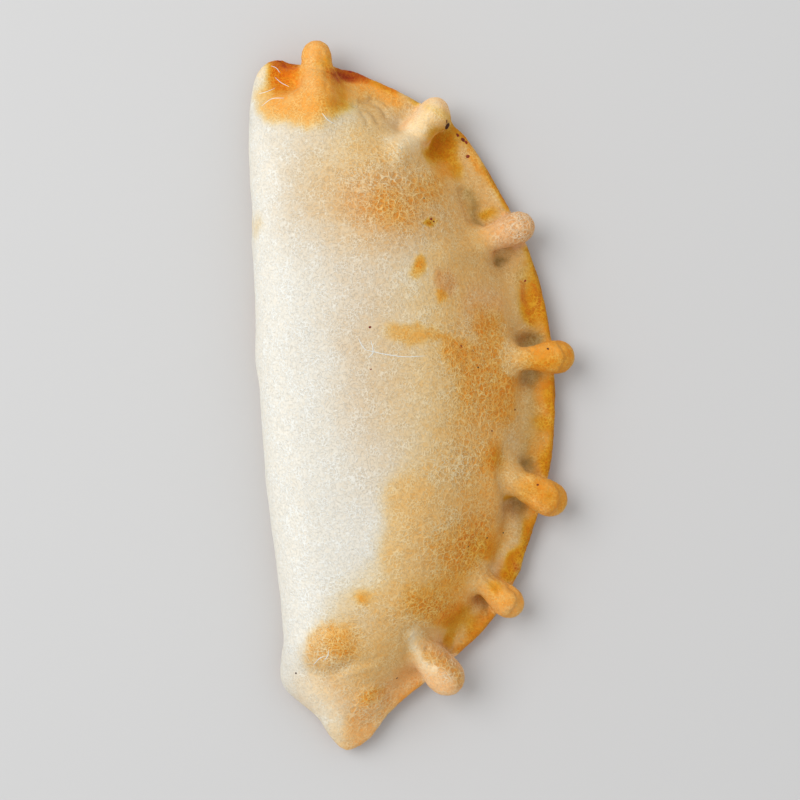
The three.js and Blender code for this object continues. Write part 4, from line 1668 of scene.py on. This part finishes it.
    def build(self, crust: bpy.types.Object) -> bpy.types.Object:
        """Lays the net.

        Args:
            crust: the finished crust that it lies on.

        Returns:
            The finished piece.
        """
        dough = BakedDough("pale_threads", has_net=False, browning=self.browning)
        sizes = (self.mesh_size, self.share, self.thickness, self.wander, self.seed)
        return lay_on_crust(bpy.data.meshes.new("skin_net"), self.tree(dough.material(), crust), sizes)


@dataclass
class Ground:
    """The finished crust as something to lay small things on."""

    crust: bpy.types.Object
    faces: BVHTree = field(init=False)

    def __post_init__(self) -> None:
        """Sorts the crust's faces so that a ray finds them fast."""
        mesh = self.crust.data
        corners = [tuple(polygon.vertices) for polygon in mesh.polygons]
        self.faces = BVHTree.FromPolygons([vertex.co for vertex in mesh.vertices], corners)

    def under(self, place: Sequence[float]) -> tuple[Vector, Vector] | None:
        """The crust's surface where the eye sees a place of the plan.

        Args:
            place: across and along on the plan, in millimetres.

        Returns:
            The point in metres and the outward direction, or nothing where the place is off the crust.
        """
        eye = Vector(EYE) * MM
        on_sheet = Vector((*place, PLAN_HEIGHT)) * MM
        point, direction, _, _ = self.faces.ray_cast(eye, on_sheet - eye)
        return None if point is None else (point, direction)


@dataclass(frozen=True)
class LongThreads:
    """The few long threads of stretched skin, as thin tubes along their paths.

    Args:
        thickness: from a thread's middle to its skin where it is thickest, in millimetres.
        steps: points between two of its path's points.
        browning: share of the crust's browning that the threads take.
        lift: how far a thread's middle stands off the crust, as a share of the thickness.
        end_share: thickness at its ends, as a share.
        taper: how it thins towards its ends: 1 is as a sine does, and less is later.
        sides: number of sides round a thread.
    """

    thickness: float = 0.075
    steps: int = 7
    browning: float = 0.6
    lift: float = 0.25
    end_share: float = 0.3
    taper: float = 0.6
    sides: int = 6

    def tree(self, material: bpy.types.Material) -> bpy.types.NodeTree:
        """Makes the tree.

        Args:
            material: what the threads are made of.

        Returns:
            The tree.
        """
        bench, paths, (thickness,) = start_tree("long_threads", ("Thickness",))
        curves = bench.node("GeometryNodeMeshToCurve", None, {"Mesh": paths})
        tubes = bench.tubes(curves, thickness, self.sides, bench.named(THICKNESS))
        return bench.finish_tree(tubes, material)

    def build(self, ground: Ground) -> bpy.types.Object:
        """Lays the threads.

        Args:
            ground: the crust that they lie on.

        Returns:
            The finished piece.
        """
        points, edges, widths = [], [], []
        for path in LONG_THREADS:
            found = (ground.under(place) for place in on_spline(path, self.steps))
            hits = [hit for hit in found if hit]
            first = len(points)
            for index, (point, direction) in enumerate(hits):
                share = index / (len(hits) - 1)
                middle = math.sin(math.pi * share) ** self.taper
                points.append(point + direction * self.thickness * self.lift * MM)
                widths.append(self.end_share + (1 - self.end_share) * middle)
            edges += [(index, index + 1) for index in range(first, len(points) - 1)]
        mesh = bpy.data.meshes.new("long_threads")
        mesh.from_pydata(points, edges, [])
        store(mesh, THICKNESS, widths)
        dough = BakedDough("stretched_skin", has_net=False, browning=self.browning)
        return lay_on_crust(mesh, self.tree(dough.material()), (self.thickness,))


@dataclass(frozen=True)
class CharSpecks:
    """The scorched specks, as low uneven blobs.

    Args:
        height_share: a speck's height, as a share of its half width.
        unevenness: how far its skin strays, in millimetres.
        seed: picks the unevenness.
    """

    height_share: float = 0.22
    unevenness: float = 0.10
    seed: float = 4.0

    def tree(self, material: bpy.types.Material) -> bpy.types.NodeTree:
        """Makes the tree.

        Args:
            material: what the specks are made of.

        Returns:
            The tree.
        """
        bench, middles, (unevenness, seed) = start_tree("char_specks", ("Unevenness", "Seed"))
        blob = bench.node("GeometryNodeMeshIcoSphere", None, {"Radius": MM, "Subdivisions": 2}, "Mesh")
        turn = {"Axis": (0.0, 0.0, 1.0), "Angle": bench.named(TURN)}
        spin = bench.node("FunctionNodeAxisAngleToRotation", None, turn)
        facing = {"Rotation": spin, "Vector": bench.named(FACING, "FLOAT_VECTOR")}
        upright = bench.node("FunctionNodeAlignRotationToVector", {"axis": "Z"}, facing)
        extent = bench.named(EXTENT, "FLOAT_VECTOR")
        specks = {"Points": middles, "Instance": blob, "Rotation": upright, "Scale": extent}
        spread = bench.node("GeometryNodeInstanceOnPoints", None, specks)
        whole = bench.node("GeometryNodeRealizeInstances", None, {"Geometry": spread})
        shift = bench.scaled((1.0, 1.0, 1.0), seed)
        sway = bench.sway(bench.vector("ADD", bench.place(), shift), SPECK_SKIN)
        uneven = bench.shifted(whole, bench.scaled(sway, unevenness * (2.0 * MM)))
        return bench.finish_tree(uneven, material)

    def build(self, ground: Ground) -> bpy.types.Object:
        """Lays the specks.

        Args:
            ground: the crust that they lie on.

        Returns:
            The finished piece.
        """
        found = [(speck, ground.under(speck.at)) for speck in SPECKS]
        laid = [(speck, *hit) for speck, hit in found if hit]
        mesh = bpy.data.meshes.new("char_specks")
        mesh.from_pydata([point for _, point, _ in laid], [], [])
        store(mesh, FACING, [direction for _, _, direction in laid])
        store(mesh, EXTENT, [(*speck.size, self.height_share * speck.size[1]) for speck, _, _ in laid])
        store(mesh, TURN, [math.radians(speck.turn) for speck, _, _ in laid])
        store(mesh, REDNESS, [speck.redness for speck, _, _ in laid])
        return lay_on_crust(mesh, self.tree(Char().material()), (self.unevenness, self.seed))


@dataclass(frozen=True)
class Studio:
    """The pale floor, the window's soft light, the light from all round, and the camera at the eye.

    Args:
        floor_side: in metres, as are the window's place and side.
        floor_colour: red, green, blue and opacity.
        window_at: where the square light hangs; it faces the empanada.
        window_side: the length of its side.
        window_power: in watts.
        room_light: strength of the light from all round.
        frame_side: what the camera takes in on the level plan, in millimetres.
        roll: how far the camera is rolled, in degrees, as one held by hand is.
    """

    floor_side: float = 12.0
    floor_colour: tuple[float, float, float, float] = (0.58, 0.58, 0.58, 1.0)
    window_at: tuple[float, float, float] = (-0.52, 0.30, 0.80)
    window_side: float = 0.70
    window_power: float = 6.2
    room_light: float = 0.695
    frame_side: float = 160.0
    roll: float = 4.0

    def lay_floor(self) -> None:
        """Makes the floor."""
        half = self.floor_side / 2
        mesh = bpy.data.meshes.new("floor")
        corners = [(-half, -half, 0), (half, -half, 0), (half, half, 0), (-half, half, 0)]
        mesh.from_pydata(corners, [], [(0, 1, 2, 3)])
        floor = add_object("floor", mesh)
        material, bench = start_material("floor_paper")
        bench.finish_surface({"Base Color": self.floor_colour, "Roughness": 0.9})
        mesh.materials.append(material)

    def light_up(self) -> None:
        """Hangs the window's light and sets the light from all round."""
        lamp = bpy.data.lights.new("window", "AREA")
        lamp.size = self.window_side
        lamp.energy = self.window_power
        window = add_object("window", lamp)
        window.location = self.window_at
        window.rotation_euler = (-Vector(self.window_at)).to_track_quat("-Z", "Y").to_euler()
        world = bpy.data.worlds.new("room")
        world.use_nodes = True
        bench = Bench(world.node_tree)
        glow = {"Color": (1.0, 1.0, 1.0, 1.0), "Strength": self.room_light}
        room = bench.make("ShaderNodeBackground", None, glow)
        bench.make("ShaderNodeOutputWorld", None, {"Surface": room.outputs["Background"]})
        bpy.context.scene.world = world

    def set_camera(self) -> None:
        """Hangs the camera over the empanada, where it looks straight down."""
        lens = bpy.data.cameras.new("camera")
        lens.angle = 2 * math.atan(self.frame_side / 2 / (EYE[2] - PLAN_HEIGHT))
        lens.clip_start = 0.01
        camera = add_object("camera", lens)
        camera.location = Vector(EYE) * MM
        camera.rotation_euler = (0.0, 0.0, -math.radians(self.roll))
        bpy.context.scene.camera = camera
        bpy.context.scene.view_settings.view_transform = "Standard"

    def build(self) -> None:
        """Sets the studio up."""
        self.lay_floor()
        self.light_up()
        self.set_camera()


def main() -> None:
    """Builds the studio and the pieces in order."""
    logging.basicConfig(level=logging.INFO, format="%(message)s")
    Studio().build()
    crust = Turnover().build()
    log.info(size_of(crust))
    ground = Ground(crust)
    for piece in (SkinNet().build(crust), LongThreads().build(ground), CharSpecks().build(ground)):
        log.info(size_of(piece))


if __name__ == "__main__":
    main()
